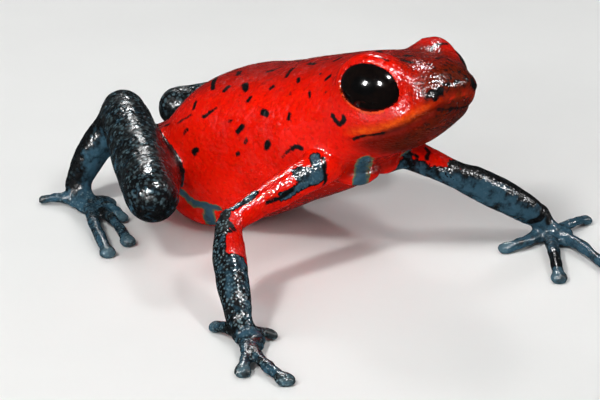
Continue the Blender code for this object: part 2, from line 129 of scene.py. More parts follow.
# The angles of the rings of a segment's round caps, and the way that is up for its rings,
# which leans a little so that no limb points along it
CAP_TURNS = (85.0, 70.0, 55.0, 40.0, 26.0, 13.0)
TUBE_OVER = (0.03, 0.05, 1.0)

# Each hand or foot: the middle of its palm, then for each digit its root, how far it bows
# to its left, its tip and the radius of its disc.
HAND_RIGHT = (
    (-11.15, -8.15),
    (
        ((-11.0, -8.2), 0.10, (-10.05, -8.55), 0.33),
        ((-11.3, -8.5), -0.45, (-13.20, -12.14), 0.41),
        ((-11.4, -8.2), 0.10, (-13.78, -10.18), 0.35),
        ((-11.1, -7.8), 0.10, (-10.98, -6.08), 0.34),
    ),
)
HAND_LEFT = (
    (6.80, -10.75),
    (
        ((6.3, -10.2), 0.40, (4.16, -9.95), 0.31),
        ((6.2, -11.0), 0.00, (3.08, -13.98), 0.34),
        ((6.8, -11.2), 0.10, (5.02, -15.47), 0.38),
        ((7.2, -10.6), -0.10, (9.34, -10.62), 0.33),
    ),
)
FOOT_RIGHT = (
    (-4.75, 7.80),
    (
        ((-4.5, 7.6), 0.00, (-3.70, 7.20), 0.27),
        ((-4.6, 7.3), 0.10, (-4.70, 5.50), 0.29),
        ((-4.8, 7.2), 0.10, (-6.59, 3.38), 0.33),
        ((-4.9, 7.5), -0.15, (-8.15, 3.18), 0.35),
        ((-4.7, 8.2), 0.00, (-5.54, 9.95), 0.31),
    ),
)
FOOT_LEFT = (
    (7.75, 6.65),
    (
        ((7.5, 6.4), 0.00, (7.2, 4.90), 0.27),
        ((7.7, 6.2), 0.10, (8.5, 3.70), 0.29),
        ((7.9, 6.1), 0.10, (10.3, 2.60), 0.33),
        ((8.1, 6.2), -0.15, (12.3, 2.40), 0.35),
        ((8.1, 6.8), 0.00, (11.1, 5.60), 0.31),
    ),
)
# The radii of a palm, how high palms, the lines of the digits and their discs lie, and how
# much higher a digit is at its middle
PALM = (0.88, 0.61, 0.42)
PALM_HEIGHT = 0.36
DIGIT_HEIGHT = 0.36
DIGIT_ARCH = 0.16
DISC_HEIGHT = 0.22
# How far past its tip a digit's disc reaches, in radii of the disc, and the half width of a
# digit's stem at its root
DISC_REACH = 0.72
STEM = 0.285

# The soft folds of the belly in front of the thighs: the left one's middle and radii
GROIN = (2.05, 2.70, 0.98)
GROIN_RADII = (1.20, 2.00, 0.98)
# The folds of the breast in front of the arms
BREAST = (0.95, -5.45, 4.38)
BREAST_RADII = (1.30, 1.00, 0.58)

# The line of the mouth from its corner to its front, and the left nostril, as distances along
# the spine and angles round it
MOUTH = (
    (15.6, -22.5), (16.8, -29.3), (17.8, -36.0), (18.8, -41.5),
    (19.6, -43.0), (20.2, -50.0), (20.38, -62.0), (20.46, -90.0),
)
NOSTRIL = (20.22, 2.0)
# The pit of a nostril and the swelling round it: height, how far from its middle, and width
NOSTRIL_RELIEF = ((-0.16, 0.0, 0.13), (0.05, 0.27, 0.11))
# The groove and the ridges along the mouth: their height, how far they lie from its line,
# their width, and their side of it: 1 above, -1 below, 0 both
MOUTH_RELIEF = (
    (-0.11, 0.00, 0.10, 0),
    (0.05, 0.34, 0.20, 1),
    (0.12, 0.80, 0.32, 1),
    (0.03, 0.30, 0.18, -1),
)


# The skin's unevenness: height, size and seed of its ripples, size and seed of its granules,
# and size and seed of the noise by which they are higher in some places
RIPPLES = ((0.05, 1.7, 11), (0.025, 0.8, 12))
GRANULES = (0.36, 21)
ROUGHER = (3.1, 7)

# A distance that is farther than any that counts, in millimetres
FAR = 9.0
# How far each pass of softening moves a point to its neighbours' mean
SOFTENING = 0.6


# Curves and grids

def unit(vectors):
    """Each vector divided by its own length."""
    vectors = np.asarray(vectors, float)
    return vectors / np.linalg.norm(vectors, axis=-1, keepdims=True)


def fade(value, low, high):
    """0 below low and 1 above high, with a smooth S between: 3t squared less 2t cubed."""
    t = np.clip((np.asarray(value, float) - low) / (high - low), 0.0, 1.0)
    return t * t * (3.0 - 2.0 * t)


def hump(value, middle, width):
    """A bell 1 high: e to the minus square of the distance from the middle over the width."""
    return np.exp(-(((value - middle) / width) ** 2))


def smooth_through(knots, values, at):
    """A cubic curve through the values at the knots, its slope at each knot the mean of the
    slopes beside it weighed by the other's length, read at other places."""
    knots = np.asarray(knots, float)
    values = np.asarray(values, float)
    at = np.asarray(at, float)
    steps = np.diff(knots)
    rises = np.diff(values) / steps
    slopes = np.empty_like(values)
    slopes[0] = rises[0]
    slopes[-1] = rises[-1]
    slopes[1:-1] = (rises[:-1] * steps[1:] + rises[1:] * steps[:-1]) / (steps[:-1] + steps[1:])
    index = np.clip(np.searchsorted(knots, at, side="right") - 1, 0, len(steps) - 1)
    t = (at - knots[index]) / steps[index]
    h = steps[index]
    rising = t * t * (3.0 - 2.0 * t)
    return (
        values[index] * (1.0 - rising)
        + values[index + 1] * rising
        + h * slopes[index] * t * (1.0 - t) ** 2
        - h * slopes[index + 1] * t * t * (1.0 - t)
    )


def tube_faces(rings, sides):
    """Quads between neighbouring rings, and a fan of triangles to a pole at each end. The
    poles are the two points after the rings."""
    ring = np.arange(rings - 1)[:, None] * sides
    side = np.arange(sides)[None, :]
    after = (side + 1) % sides
    quads = np.stack([ring + side, ring + after, ring + after + sides, ring + side + sides], -1)
    first = rings * sides
    last = (rings - 1) * sides
    side = side[0]
    after = after[0]
    start = np.stack([np.full(sides, first), after, side], -1)
    end = np.stack([np.full(sides, first + 1), last + side, last + after], -1)
    return quads.reshape(-1, 4).tolist() + start.tolist() + end.tolist()


def swept(path, wide, tall, sides=28, over=(0.0, 0.0, 1.0)):
    """A closed tube carried along a path: at each of its points the ring is the point plus
    wide times the cosine sideways plus tall times the sine upwards, square to the path."""
    path = np.asarray(path, float)
    ahead = unit(np.gradient(path, axis=0))
    aside = unit(np.cross(over, ahead))
    above = np.cross(ahead, aside)
    turn = np.linspace(0.0, 2.0 * np.pi, sides, endpoint=False)[None, :, None]
    wide = np.asarray(wide, float)[:, None, None]
    tall = np.asarray(tall, float)[:, None, None]
    rings = path[:, None] + wide * np.cos(turn) * aside[:, None]
    rings = rings + tall * np.sin(turn) * above[:, None]
    ends = np.array([path[0] - ahead[0] * 0.01, path[-1] + ahead[-1] * 0.01])
    return np.concatenate([rings.reshape(-1, 3), ends]), tube_faces(len(path), sides)


def ellipsoid(centre, radii, axes, rings=24, sides=36):
    """Centre plus the radii times a point of the unit sphere, along three given axes."""
    tilt = np.linspace(0.0, np.pi, rings + 2)[1:-1, None]
    turn = np.linspace(0.0, 2.0 * np.pi, sides, endpoint=False)[None, :]
    ball = np.stack(
        [np.sin(tilt) * np.cos(turn), np.sin(tilt) * np.sin(turn), np.cos(tilt) + 0.0 * turn], -1
    ).reshape(-1, 3)
    ball = np.concatenate([ball, [[0.0, 0.0, 1.0], [0.0, 0.0, -1.0]]])
    return centre + (ball * radii) @ np.asarray(axes, float), tube_faces(rings, sides)


# The trunk and the head

def spine_length():
    """How far along the spine each station lies."""
    places = np.array([(row[0], row[1]) for row in SPINE])
    return np.concatenate([[0.0], np.cumsum(np.linalg.norm(np.diff(places, axis=0), axis=1))])


SPINE_KNOTS = spine_length()


def spine_value(column, along):
    """One column of the spine's table, as a smooth curve along the spine."""
    return smooth_through(SPINE_KNOTS, [row[column] for row in SPINE], along)


def body_frame(along):
    """The spine's point, its upward normal and the body's sizes at a distance along it."""
    y, z, wide, up, down, square = (spine_value(i, along) for i in range(6))
    wide, up, down = (np.maximum(size, THINNEST) for size in (wide, up, down))
    ahead = np.clip(along + SLOPE_STEP, 0.0, SPINE_KNOTS[-1])
    behind = np.clip(along - SLOPE_STEP, 0.0, SPINE_KNOTS[-1])
    run_y, run_z = (spine_value(i, ahead) - spine_value(i, behind) for i in range(2))
    size = np.hypot(run_y, run_z)
    return y, z, -run_y / size, run_z / size, wide, up, down, square


def turn_head(points, along, back=False):
    """The head's roll and then its yaw about the neck, growing in over the neck's length."""
    pivot = np.array([0.0, *SPINE[NECK_STATION][:2]])
    neck = SPINE_KNOTS[NECK_STATION]
    share = fade(along, neck - NECK_REACH, neck + NECK_REACH)
    yaw = np.radians(HEAD_YAW) * share
    roll = np.radians(HEAD_ROLL) * share
    x, y, z = (points - pivot).T
    if back:
        x, y = x * np.cos(yaw) + y * np.sin(yaw), y * np.cos(yaw) - x * np.sin(yaw)
        x, z = x * np.cos(roll) + z * np.sin(roll), z * np.cos(roll) - x * np.sin(roll)
    else:
        x, z = x * np.cos(roll) - z * np.sin(roll), x * np.sin(roll) + z * np.cos(roll)
        x, y = x * np.cos(yaw) - y * np.sin(yaw), x * np.sin(yaw) + y * np.cos(yaw)
    return np.stack([x, y, z], axis=1) + pivot


def head_straight(points):
    """Points carried back by the whole of the head's turn."""
    return turn_head(points, np.full(len(points), SPINE_KNOTS[-1]), back=True)


def body_point(along, angle, grow=0.0):
    """Points on the body's skin: a distance along the spine and an angle round it, 0 at the
    left side and 90 on the back. At a section the half width times the cosine and the
    height times the sine are bent towards a rounded square; then the head is turned."""
    along = np.atleast_1d(np.asarray(along, float))
    angle = np.radians(np.atleast_1d(np.asarray(angle, float)))
    y, z, rise, lean, wide, up, down, square = body_frame(along)
    c = np.cos(angle)
    s = np.sin(angle)
    x = (wide + grow) * np.sign(c) * np.abs(c) ** (2.0 / square)
    tall = np.where(s > 0.0, up, down) + grow
    h = tall * np.sign(s) * np.abs(s) ** (2.0 / square)
    points = np.stack([x, y + h * lean, z + h * rise], axis=1)
    return turn_head(points, along)


def body_surface(rings=150, sides=96):
    """The body's skin on a grid of distances along the spine, closer near its ends, by
    angles round it."""
    even = np.linspace(0.0, 1.0, rings)
    ends = (1.0 - np.cos(even * np.pi)) / 2.0
    stations = (0.5 * even + 0.5 * ends) * SPINE_KNOTS[-1]
    turns = np.linspace(0.0, 360.0, sides, endpoint=False)
    grid = body_point(np.repeat(stations, sides), np.tile(turns, rings))
    first = grid[:sides].mean(0)
    last = grid[-sides:].mean(0)
    return np.concatenate([grid, [first, last]]), tube_faces(rings, sides)


def body_place(points):
    """Where points lie on the body: the distance along the spine, the angle round it, how far
    they are from the spine and how far from the body's skin. The station is the one whose
    section plane holds the point, found between two of a row of close samples."""
    samples = np.linspace(0.0, SPINE_KNOTS[-1], 260)
    y, z, rise, lean, *_ = body_frame(samples)
    plain = points
    for _ in range(2):
        off = (plain[:, 1:2] - y) * rise - (plain[:, 2:3] - z) * lean
        index = np.clip(np.sum(off < 0.0, axis=1) - 1, 0, len(samples) - 2)
        row = np.arange(len(points))
        low = off[row, index]
        share = np.clip(low / (low - off[row, index + 1] - 1e-12), 0.0, 1.0)
        along = samples[index] + share * (samples[1] - samples[0])
        plain = turn_head(points, along, back=True)
    cy, cz, rise, lean, wide, up, down, square = body_frame(along)
    h = (plain[:, 1] - cy) * lean + (plain[:, 2] - cz) * rise
    x = plain[:, 0]
    tall = np.where(h > 0.0, up, down)
    level = (np.abs(x / wide) ** square + np.abs(h / tall) ** square) ** (1.0 / square)
    far = np.hypot(x, h)
    c = np.sign(x) * np.abs(x / wide / level) ** (square / 2.0)
    s = np.sign(h) * np.abs(h / tall / level) ** (square / 2.0)
    past = (plain[:, 1] - cy) * -rise + (plain[:, 2] - cz) * lean
    outside = np.hypot(far * (1.0 - 1.0 / level), past) * np.where(level > 1.0, 1.0, -1.0)
    return along, np.degrees(np.arctan2(s, c)), far, outside


def eye_place(side):
    """The centre of an eye and its three axes: towards the snout, upwards and outwards."""
    centre = np.array([[side * EYE[0], EYE[1], EYE[2]]])
    ahead = centre + np.array([[side * EYE_OUTWARD[0], EYE_OUTWARD[1], EYE_OUTWARD[2]]])
    station = np.full(1, SPINE_KNOTS[-1])
    turned = turn_head(centre, station)[0]
    outward = unit(turn_head(ahead, station)[0] - turned)
    forward = -side * unit(np.cross((0.0, 0.0, 1.0), outward))
    upward = unit((0.0, 0.0, 1.0) - outward * outward[2])
    return turned, np.array([forward, upward, outward])


# The limbs

def limb_path(start, end, profile, bow, steps=26):
    """The line of a limb segment with its radii: the radius follows the profile, the middle
    is moved by the bow, and round caps run past both joints."""
    start = np.array(start, float)
    end = np.array(end, float)
    length = np.linalg.norm(end - start)
    middle = np.linspace(0.0, 1.0, steps)
    sizes = smooth_through([row[0] for row in profile], [row[1] for row in profile], middle)
    cap = np.radians(CAP_TURNS)
    before = -np.sin(cap) * sizes[0] / length
    after = 1.0 + np.sin(cap[::-1]) * sizes[-1] / length
    at = np.concatenate([before, middle, after])
    radii = np.concatenate([np.cos(cap) * sizes[0], sizes, np.cos(cap[::-1]) * sizes[-1]])
    inside = np.clip(at, 0.0, 1.0)
    path = start + np.outer(at, end - start) + np.outer(4.0 * inside * (1.0 - inside), bow)
    return path, radii


def digit_path(root, bow, tip, disc, steps=40):
    """The line of a digit, its half widths and its half heights. It arches a little, swells
    at its two joints and ends in a disc whose end is cut nearly square."""
    root = np.array([*root, DIGIT_HEIGHT])
    tip = np.array([*tip, DISC_HEIGHT])
    ahead = unit(tip - root)
    aside = np.array([-ahead[1], ahead[0], 0.0])
    length = np.linalg.norm(tip - root)
    far = 1.0 + DISC_REACH * disc / length
    share = np.linspace(0.0, far, steps)
    share = share + 0.25 * share * (far - share) / far
    arch = np.sin(np.pi * np.clip(share, 0.0, 1.0))
    path = root + np.outer(share, tip - root) + np.outer(arch * bow, aside)
    path[:, 2] += arch * DIGIT_ARCH
    along = share * length
    tail = (length + DISC_REACH * disc) - along
    stem = STEM - 0.06 * fade(share, 0.0, 0.9)
    stem = stem + 0.035 * hump(share, 0.42, 0.06)
    stem = stem + 0.03 * hump(share, 0.70, 0.05)
    swell = fade(tail, 2.1 * disc, 1.1 * disc)
    blunt = 1.0 - np.clip(tail / (0.55 * disc), 0.0, 1.0)
    round_end = np.sqrt(np.clip(1.0 - blunt**2, 0.0, 1.0))
    wide = (stem + (disc - stem) * swell) * np.maximum(round_end, 0.04)
    tall = (stem * 0.92 + (0.235 - stem * 0.92) * swell) * np.maximum(round_end, 0.06)
    return path, wide, tall


def hand_surfaces(hand, joint):
    """The palm, a ridge from it to the wrist, and the digits with their webbed roots."""
    middle, digits = hand
    centre = np.array([*middle, PALM_HEIGHT])
    joint = np.array(joint)
    towards = unit(np.array([middle[0] - joint[0], middle[1] - joint[1], 0.0]))
    axes = (towards, (-towards[1], towards[0], 0.0), (0.0, 0.0, 1.0))
    made = [ellipsoid(centre, PALM, axes)]
    shares = np.linspace(-0.25, 1.0, 14)
    path = joint + np.outer(shares, centre - joint)
    wide = 0.52 - 0.04 * fade(shares, 0.2, 1.0)
    made.append(swept(path, wide, wide * 0.92, over=(0.1, 0.2, 1.0)))
    for root, bow, tip, disc in digits:
        made.append(swept(*digit_path(root, bow, tip, disc), sides=24))
        knuckle = np.array([*root, DIGIT_HEIGHT - 0.02])
        start = centre + 0.15 * (knuckle - centre)
        tip = np.array([*tip, DIGIT_HEIGHT])
        end = knuckle + unit(tip - knuckle) * min(0.9, 0.35 * np.linalg.norm(tip - knuckle))
        at = np.linspace(0.0, 1.0, 12)
        web = np.sin(np.pi * np.clip(at * 0.9 + 0.1, 0.0, 1.0)) ** 0.4
        made.append(swept(start + np.outer(at, end - start), 0.36 * web, 0.30 * web, 20))
    return made


# The tubes the limbs are made of: name, joints, profiles and bows
LIMBS = (
    ("arm_right", ARM_RIGHT, (UPPER_ARM, FOREARM), ARM_RIGHT_BOWS),
    ("arm_left", ARM_LEFT, (UPPER_ARM, FOREARM), ARM_LEFT_BOWS),
    ("leg_right", LEG_RIGHT, (THIGH, SHANK, TARSUS), LEG_RIGHT_BOWS),
    ("leg_left", LEG_LEFT, (THIGH, SHANK, TARSUS), LEG_LEFT_BOWS),
)
HANDS = (
    ("arm_right", HAND_RIGHT),
    ("arm_left", HAND_LEFT),
    ("leg_right", FOOT_RIGHT),
    ("leg_left", FOOT_LEFT),
)


def limb_segments():
    """Every limb segment's name, path and radii."""
    made = []
    for name, joints, profiles, bows in LIMBS:
        for i, profile in enumerate(profiles):
            made.append((f"{name}_{i}", *limb_path(joints[i], joints[i + 1], profile, bows[i])))
    return made


def joined(surfaces):
    """Several closed surfaces as one list of points and one of faces."""
    points = []
    faces = []
    before = 0
    for verts, polys in surfaces:
        points.append(verts)
        faces.extend([[i + before for i in poly] for poly in polys])
        before += len(verts)
    return np.concatenate(points), faces


def flesh_surfaces():
    """All the closed surfaces the skin is melted from: the body with its brows and the folds
    of its groin and breast, the limbs and the hands and feet."""
    made = [body_surface()]
    for side in (-1, 1):
        centre, axes = eye_place(side)
        middle = centre - BROW_INSET * axes[2] + BROW_LIFT * axes[1]
        made.append(ellipsoid(middle, BROW_RADII, axes, 40, 60))
        groin = np.array([side * GROIN[0], *GROIN[1:]])
        made.append(ellipsoid(groin, GROIN_RADII, np.identity(3)))
        breast = np.array([side * BREAST[0], *BREAST[1:]])
        made.append(ellipsoid(breast, BREAST_RADII, np.identity(3)))
    for _, path, radii in limb_segments():
        made.append(swept(path, radii, radii, 36, over=TUBE_OVER))
    joints = {name: points[-1] for name, points, _, _ in LIMBS}
    for name, hand in HANDS:
        made.extend(hand_surfaces(hand, joints[name]))
    return made


# Melting the surfaces into one skin

def melted(surfaces, voxel):
    """One closed skin of small quads round all the surfaces: the level set of the union on a
    cubic grid, made by the Remesh modifier in millimetre units."""
    points, faces = joined(surfaces)
    mesh = bpy.data.meshes.new("melting")
    mesh.from_pydata(points.tolist(), [], faces)
    rough = bpy.data.objects.new("melting", mesh)
    bpy.context.scene.collection.objects.link(rough)
    remesh = rough.modifiers.new("Melt", "REMESH")
    remesh.mode = "VOXEL"
    remesh.voxel_size = voxel
    remesh.adaptivity = 0.0
    graph = bpy.context.evaluated_depsgraph_get()
    done = rough.evaluated_get(graph).to_mesh()
    verts = np.empty(len(done.vertices) * 3)
    done.vertices.foreach_get("co", verts)
    loops = np.empty(len(done.loops), int)
    done.loops.foreach_get("vertex_index", loops)
    counts = np.empty(len(done.polygons), int)
    done.polygons.foreach_get("loop_total", counts)
    if not len(counts) or counts.min() != 4 or counts.max() != 4:
        raise RuntimeError("the melted skin isn't all quads")
    rough.to_mesh_clear()
    bpy.data.objects.remove(rough)
    bpy.data.meshes.remove(mesh)
    return verts.reshape(-1, 3), loops.reshape(-1, 4)


def largest_shell(points, quads):
    """Only the biggest connected shell: labels spread along edges until nothing changes."""
    label = np.arange(len(points))
    while True:
        low = label[quads].min(1)
        fresh = label.copy()
        np.minimum.at(fresh, quads.ravel(), np.repeat(low, 4))
        fresh = fresh[fresh]
        if np.array_equal(fresh, label):
            break
        label = fresh
    kept = label == np.bincount(label).argmax()
    number = np.cumsum(kept) - 1
    return points[kept], number[quads[kept[quads[:, 0]]]]


def neighbour_mean(values, quads):
    """The mean of the values over the points that share an edge with each point."""
    one = quads.ravel()
    two = np.roll(quads, -1, axis=1).ravel()
    ends = np.concatenate([one, two])
    others = np.concatenate([two, one])
    count = np.bincount(ends, minlength=len(values))
    sums = [np.bincount(ends, values[others, i], len(values)) for i in range(values.shape[1])]
    return np.stack(sums, 1) / count[:, None]


# The two steps of the smoothing that keeps the size
STEP_IN = 0.55
STEP_OUT = 0.58


def smoothed(points, quads, weight, passes):
    """Each point moved towards the mean of its neighbours by its weight, pass after pass."""
    for _ in range(passes):
        points = points + (neighbour_mean(points, quads) - points) * weight
    return points


def evened(points, quads, passes):
    """Smoothing that keeps the size: towards the neighbours' mean, then a little further
    away from it."""
    for _ in range(passes):
        points = points + (neighbour_mean(points, quads) - points) * STEP_IN
        points = points - (neighbour_mean(points, quads) - points) * STEP_OUT
    return points


def point_normals(points, quads):
    """Each point's normal: the sum of its quads' normals, whose size is their area."""
    a = points[quads[:, 2]] - points[quads[:, 0]]
    b = points[quads[:, 3]] - points[quads[:, 1]]
    normal = np.cross(a, b)
    sums = [np.bincount(quads.ravel(), np.repeat(normal[:, i], 4), len(points)) for i in range(3)]
    return unit(np.stack(sums, 1) + 1e-12)


# The whole numbers that scatter the cubes of a lattice over a table of random numbers
SCATTER = np.array([73856093, 19349663, 83492791])
TABLE_SIZE = 4096


def drawn(table, cells):
    """The row of a table of random numbers that belongs to each cube: its whole-numbered
    place times the scatter, mixed with its own higher bits, modulo the table's size."""
    index = cells @ SCATTER
    return table[(index ^ (index >> 13)) % len(table)]


def lattice_noise(points, size, seed):
    """Smooth noise from -1 to 1: seeded random numbers on the corners of cubes of a given
    size, mixed across each cube with the S-curve on every axis."""
    random = np.random.default_rng(seed)
    table = random.uniform(-1.0, 1.0, TABLE_SIZE)
    place = points / size
    cell = np.floor(place).astype(np.int64)
    t = place - cell
    t = t * t * t * (t * (6.0 * t - 15.0) + 10.0)
    total = np.zeros(len(points))
    for corner in range(8):
        step = np.array([corner & 1, corner >> 1 & 1, corner >> 2 & 1])
        total += np.prod(np.where(step, t, 1.0 - t), axis=1) * drawn(table, cell + step)
    return total


def pebbles(points, size, seed):
    """Rounded granules: in cubes of a given size each has one seeded random centre, and the
    height is 1 less 1.6 times the square of the distance to the nearest centre over the
    size, and never below 0."""
    random = np.random.default_rng(seed)
    table = random.uniform(0.15, 0.85, (TABLE_SIZE, 3))
    place = points / size
    cell = np.floor(place).astype(np.int64)
    nearest = np.full(len(points), FAR)
    for corner in range(27):
        step = np.array([corner % 3 - 1, corner // 3 % 3 - 1, corner // 9 - 1])
        centre = cell + step + drawn(table, cell + step)
        nearest = np.minimum(nearest, np.sum((place - centre) ** 2, axis=1))
    return np.clip(1.0 - nearest * 1.6, 0.0, 1.0)


# Where things are on the skin

def beside(points, path, chunk=12000):
    """For every point the nearest sample of a path and the distance to it."""
    index = np.empty(len(points), int)
    size = np.empty(len(points))
    for start in range(0, len(points), chunk):
        part = points[start : start + chunk]
        gap = np.sum(part**2, 1)[:, None] - 2.0 * part @ path.T + np.sum(path**2, 1)
        nearest = gap.argmin(1)
        index[start : start + chunk] = nearest
        size[start : start + chunk] = np.sqrt(np.maximum(gap[np.arange(len(part)), nearest], 0.0))
    return index, size


def tube_place(points, path, radii):
    """Where points lie on a tube: how far along it, the angle round it (0 at its top), the
    radius there and how far from its skin."""
    index, far = beside(points, path)
    run = np.concatenate([[0.0], np.cumsum(np.linalg.norm(np.diff(path, axis=0), axis=1))])
    ahead = unit(np.gradient(path, axis=0))
    aside = unit(np.cross(TUBE_OVER, ahead))
    above = np.cross(ahead, aside)
    off = points - path[index]
    along = run[index] + np.sum(off * ahead[index], 1)
    angle = np.degrees(np.arctan2(np.sum(off * aside[index], 1), np.sum(off * above[index], 1)))
    return along, angle, radii[index], far - radii[index]


def stroke_field(strokes, along, angle, radius):
    """How far each point lies inside the nearest stroke, in millimetres and negative
    outside. A stroke is a line of (along, angle) places with a half width; distances are
    taken on the unrolled skin, where the angle counts times the point's radius."""
    inside = np.full(len(along), -FAR)
    scale = np.radians(1.0) * radius
    for half, places in strokes:
        for (s0, a0), (s1, a1) in zip(places, places[1:]):
            du = along - s0
            dv = ((angle - a0 + 180.0) % 360.0 - 180.0) * scale
            eu = s1 - s0
            ev = (a1 - a0) * scale
            t = np.clip((du * eu + dv * ev) / (eu * eu + ev * ev + 1e-9), 0.0, 1.0)
            inside = np.maximum(inside, half - np.hypot(du - t * eu, dv - t * ev))
    return inside


def mouth_line(steps=90):
    """The line of the mouth on the body's skin from the right corner round the front to the
    left one, smooth over the number of its rows."""
    rows = np.arange(len(MOUTH))
    at = np.linspace(0.0, rows[-1], steps)
    station, turn = (smooth_through(rows, [row[i] for row in MOUTH], at) for i in range(2))
    right = body_point(station, 180.0 - turn)
    left = body_point(station, turn)
    return np.concatenate([right, left[::-1][1:]])


def mouth_place(points):
    """How far each point is from the line of the mouth, how far above it, and how many
    samples of the line lie between it and the nearer corner."""
    line = mouth_line()
    index, gap = beside(points, line)
    return gap, (points - line[index])[:, 2], np.minimum(index, len(line) - 1 - index)


def nostril_distance(points, side):
    """How far each point is from the middle of a nostril."""
    turn = 180.0 - NOSTRIL[1] if side < 0 else NOSTRIL[1]
    return np.linalg.norm(points - body_point(NOSTRIL[0], turn)[0], axis=1)


# The marks: each stroke is its half width in millimetres and its (along, angle) places. On
# the trunk along is the distance from the rump and the angle is 0 at the left, 90 on the
# back and 180 at the right. On a limb the angle is 0 on top.

# The trunk's black spots that have a twin on its hidden left side: how far the twin is moved
# along and turned, then the spot itself
PAIRED_SPOTS = (
    (-0.3, -5, 0.1, ((7.0, 101), (7.4, 112), (7.8, 123))),
    (-0.1, -4, 0.1, ((8.7, 122), (8.6, 127))),
    (-0.4, -1, 0.08, ((8.2, 98), (8.5, 104))),
    (0.4, 4, 0.14, ((9.6, 121), (9.9, 128))),
    (0.3, -3, 0.09, ((10.4, 138), (10.3, 141))),
    (0.0, -3, 0.1, ((10.2, 103), (10.4, 103))),
    (-0.3, -5, 0.05, ((10.4, 103), (10.6, 98))),
    (-0.3, 5, 0.08, ((11.9, 107), (12.0, 119))),
    (0.3, 4, 0.1, ((11.5, 129), (11.4, 131))),
    (0.3, -4, 0.08, ((12.9, 124), (13.0, 128))),
    (-0.2, 2, 0.08, ((12.6, 101), (13.1, 104))),
    (0.2, 4, 0.1, ((14.4, 105), (14.5, 101))),
    (0.4, -5, 0.1, ((15.1, 131), (14.9, 134))),
    (0.1, 2, 0.05, ((14.2, 124), (14.2, 123))),
    (0.0, -4, 0.06, ((14.0, 143), (14.1, 148))),
    (0.0, -5, 0.045, ((12.8, 139), (12.8, 141))),
    (0.4, 4, 0.08, ((12.9, 160), (12.8, 164))),
    (0.0, -2, 0.16, ((11.3, 154), (11.5, 156))),
    (0.4, 1, 0.125, ((10.1, 164), (9.8, 168))),
    (0.4, 4, 0.11, ((11.4, 180), (11.2, 182))),
    (0.0, -1, 0.06, ((8.5, 145), (8.1, 149))),
    (0.1, -1, 0.1, ((8.1, 149), (7.8, 152))),
    (-0.3, -2, 0.08, ((7.0, 135), (7.0, 142))),
    (0.3, -5, 0.04, ((6.9, 148), (6.5, 149), (5.9, 150))),
    (-0.5, 2, 0.085, ((6.6, 160), (6.4, 162))),
    (-0.2, 0, 0.09, ((7.0, 176), (6.7, 177))),
    (0.0, -2, 0.05, ((5.0, 142), (4.4, 138))),
    (0.5, -4, 0.05, ((9.4, 182), (9.5, 182))),
    (-0.1, -4, 0.055, ((10.2, 175), (10.1, 177))),
    (0.1, -3, 0.04, ((9.3, 158), (9.5, 158))),
    (-0.1, 3, 0.04, ((15.1, 151), (15.2, 150))),
    (-0.2, 1, 0.1, ((15.6, 174), (15.7, 179), (15.9, 184))),
    (0.4, -5, 0.11, ((15.9, 184), (16.3, 182), (16.3, 179))),
    (-0.4, -3, 0.09, ((12.6, 187), (12.8, 186), (13.2, 189))),
    (0.3, 1, 0.035, ((11.9, 191), (12.5, 187))),
    (0.0, 0, 0.075, ((16.2, 207), (16.9, 207), (17.7, 215))),
)
LONE_SPOTS = (
    (0.05, ((11.0, 87), (11.3, 90))),
    (0.065, ((16.2, 90), (16.8, 95))),
    (0.07, ((18.3, 96), (18.5, 94))),
    (0.08, ((19.0, 114), (19.2, 114))),
    (0.04, ((18.6, 126), (18.8, 127), (18.9, 127))),
    (0.06, ((18.5, 69), (18.7, 63), (18.8, 56))),
)
# The edge of the blue at the right groin
GROIN_EDGE = (
    (0.26, ((4.5, 192), (4.8, 197), (4.9, 202), (5.2, 207), (5.7, 212), (6.5, 217))),
    (0.32, ((5.8, 217), (5.5, 228))),
)


def twin(half, places, shift=0.0, turn=0):
    """A stroke of the trunk mirrored to its left side, then moved along and turned."""
    return half, tuple((round(along + shift, 1), 180 - angle + turn) for along, angle in places)


BLACK_MARKS = {
    "trunk": (
        *LONE_SPOTS,
        *((half, places) for _, _, half, places in PAIRED_SPOTS),
        *(twin(half, places, shift, turn) for shift, turn, half, places in PAIRED_SPOTS),
    ),
    "arm_right_0": (
        (0.08, ((4.8, 71), (4.1, 81), (3.4, 78))),
        (0.07, ((1.3, 38), (1.6, 78), (1.7, 122))),
    ),
    "arm_right_1": (
        (0.13, ((1.2, 8), (1.45, 23))),
    ),
    "arm_left_0": (
        (0.075, ((3.5, -8), (3.8, -25), (3.9, -56))),
        (0.045, ((3.0, -61), (3.5, -64))),
        (0.34, ((5.3, -99), (5.4, -61), (5.3, -20), (5.2, 30))),
    ),
    "arm_left_1": (
        (0.22, ((-0.1, -80), (0.1, -30), (0.0, 40))),
        (0.12, ((1.0, -24), (2.9, -38), (5.6, -31))),
        (0.16, ((5.85, -40), (5.75, -102), (5.5, -131))),
    ),
}

# Where the red gives way to slate blue, and where red lies on the blue
BLUE_MARKS = {
    "trunk": (
        (0.34, ((15.3, 241), (14.5, 248), (13.6, 254))),
        (0.34, ((15.2, 301), (14.4, 293), (13.6, 286))),
        *GROIN_EDGE,
        *(twin(*stroke) for stroke in GROIN_EDGE),
    ),
    "arm_right_0": (
        (0.42, ((2.65, 42), (2.4, 60), (1.95, 80))),
        (0.28, ((1.6, 20), (1.8, 60))),
        (0.22, ((2.7, 82), (3.5, 84), (4.0, 82))),
        (0.17, ((5.0, 8), (5.6, 20), (6.7, 8))),
    ),
    "arm_left_0": (
        (0.25, ((3.3, -97), (4.5, -87), (5.3, -68))),
        (0.25, ((3.0, -74), (3.1, -106))),
        (0.5, ((2.4, -135), (5.4, -125))),
        (0.7, ((2.4, 175), (5.6, 175))),
    ),
}
RED_MARKS = {
    "arm_right_1": (
        (0.30, ((-0.1, -85), (0.5, -75))),
        (0.42, ((0.6, 50), (0.9, 46), (1.8, 44), (2.5, 42))),
        (0.20, ((1.9, 4), (2.7, 2))),
        (0.20, ((1.5, 80), (3.0, 70))),
    ),
}

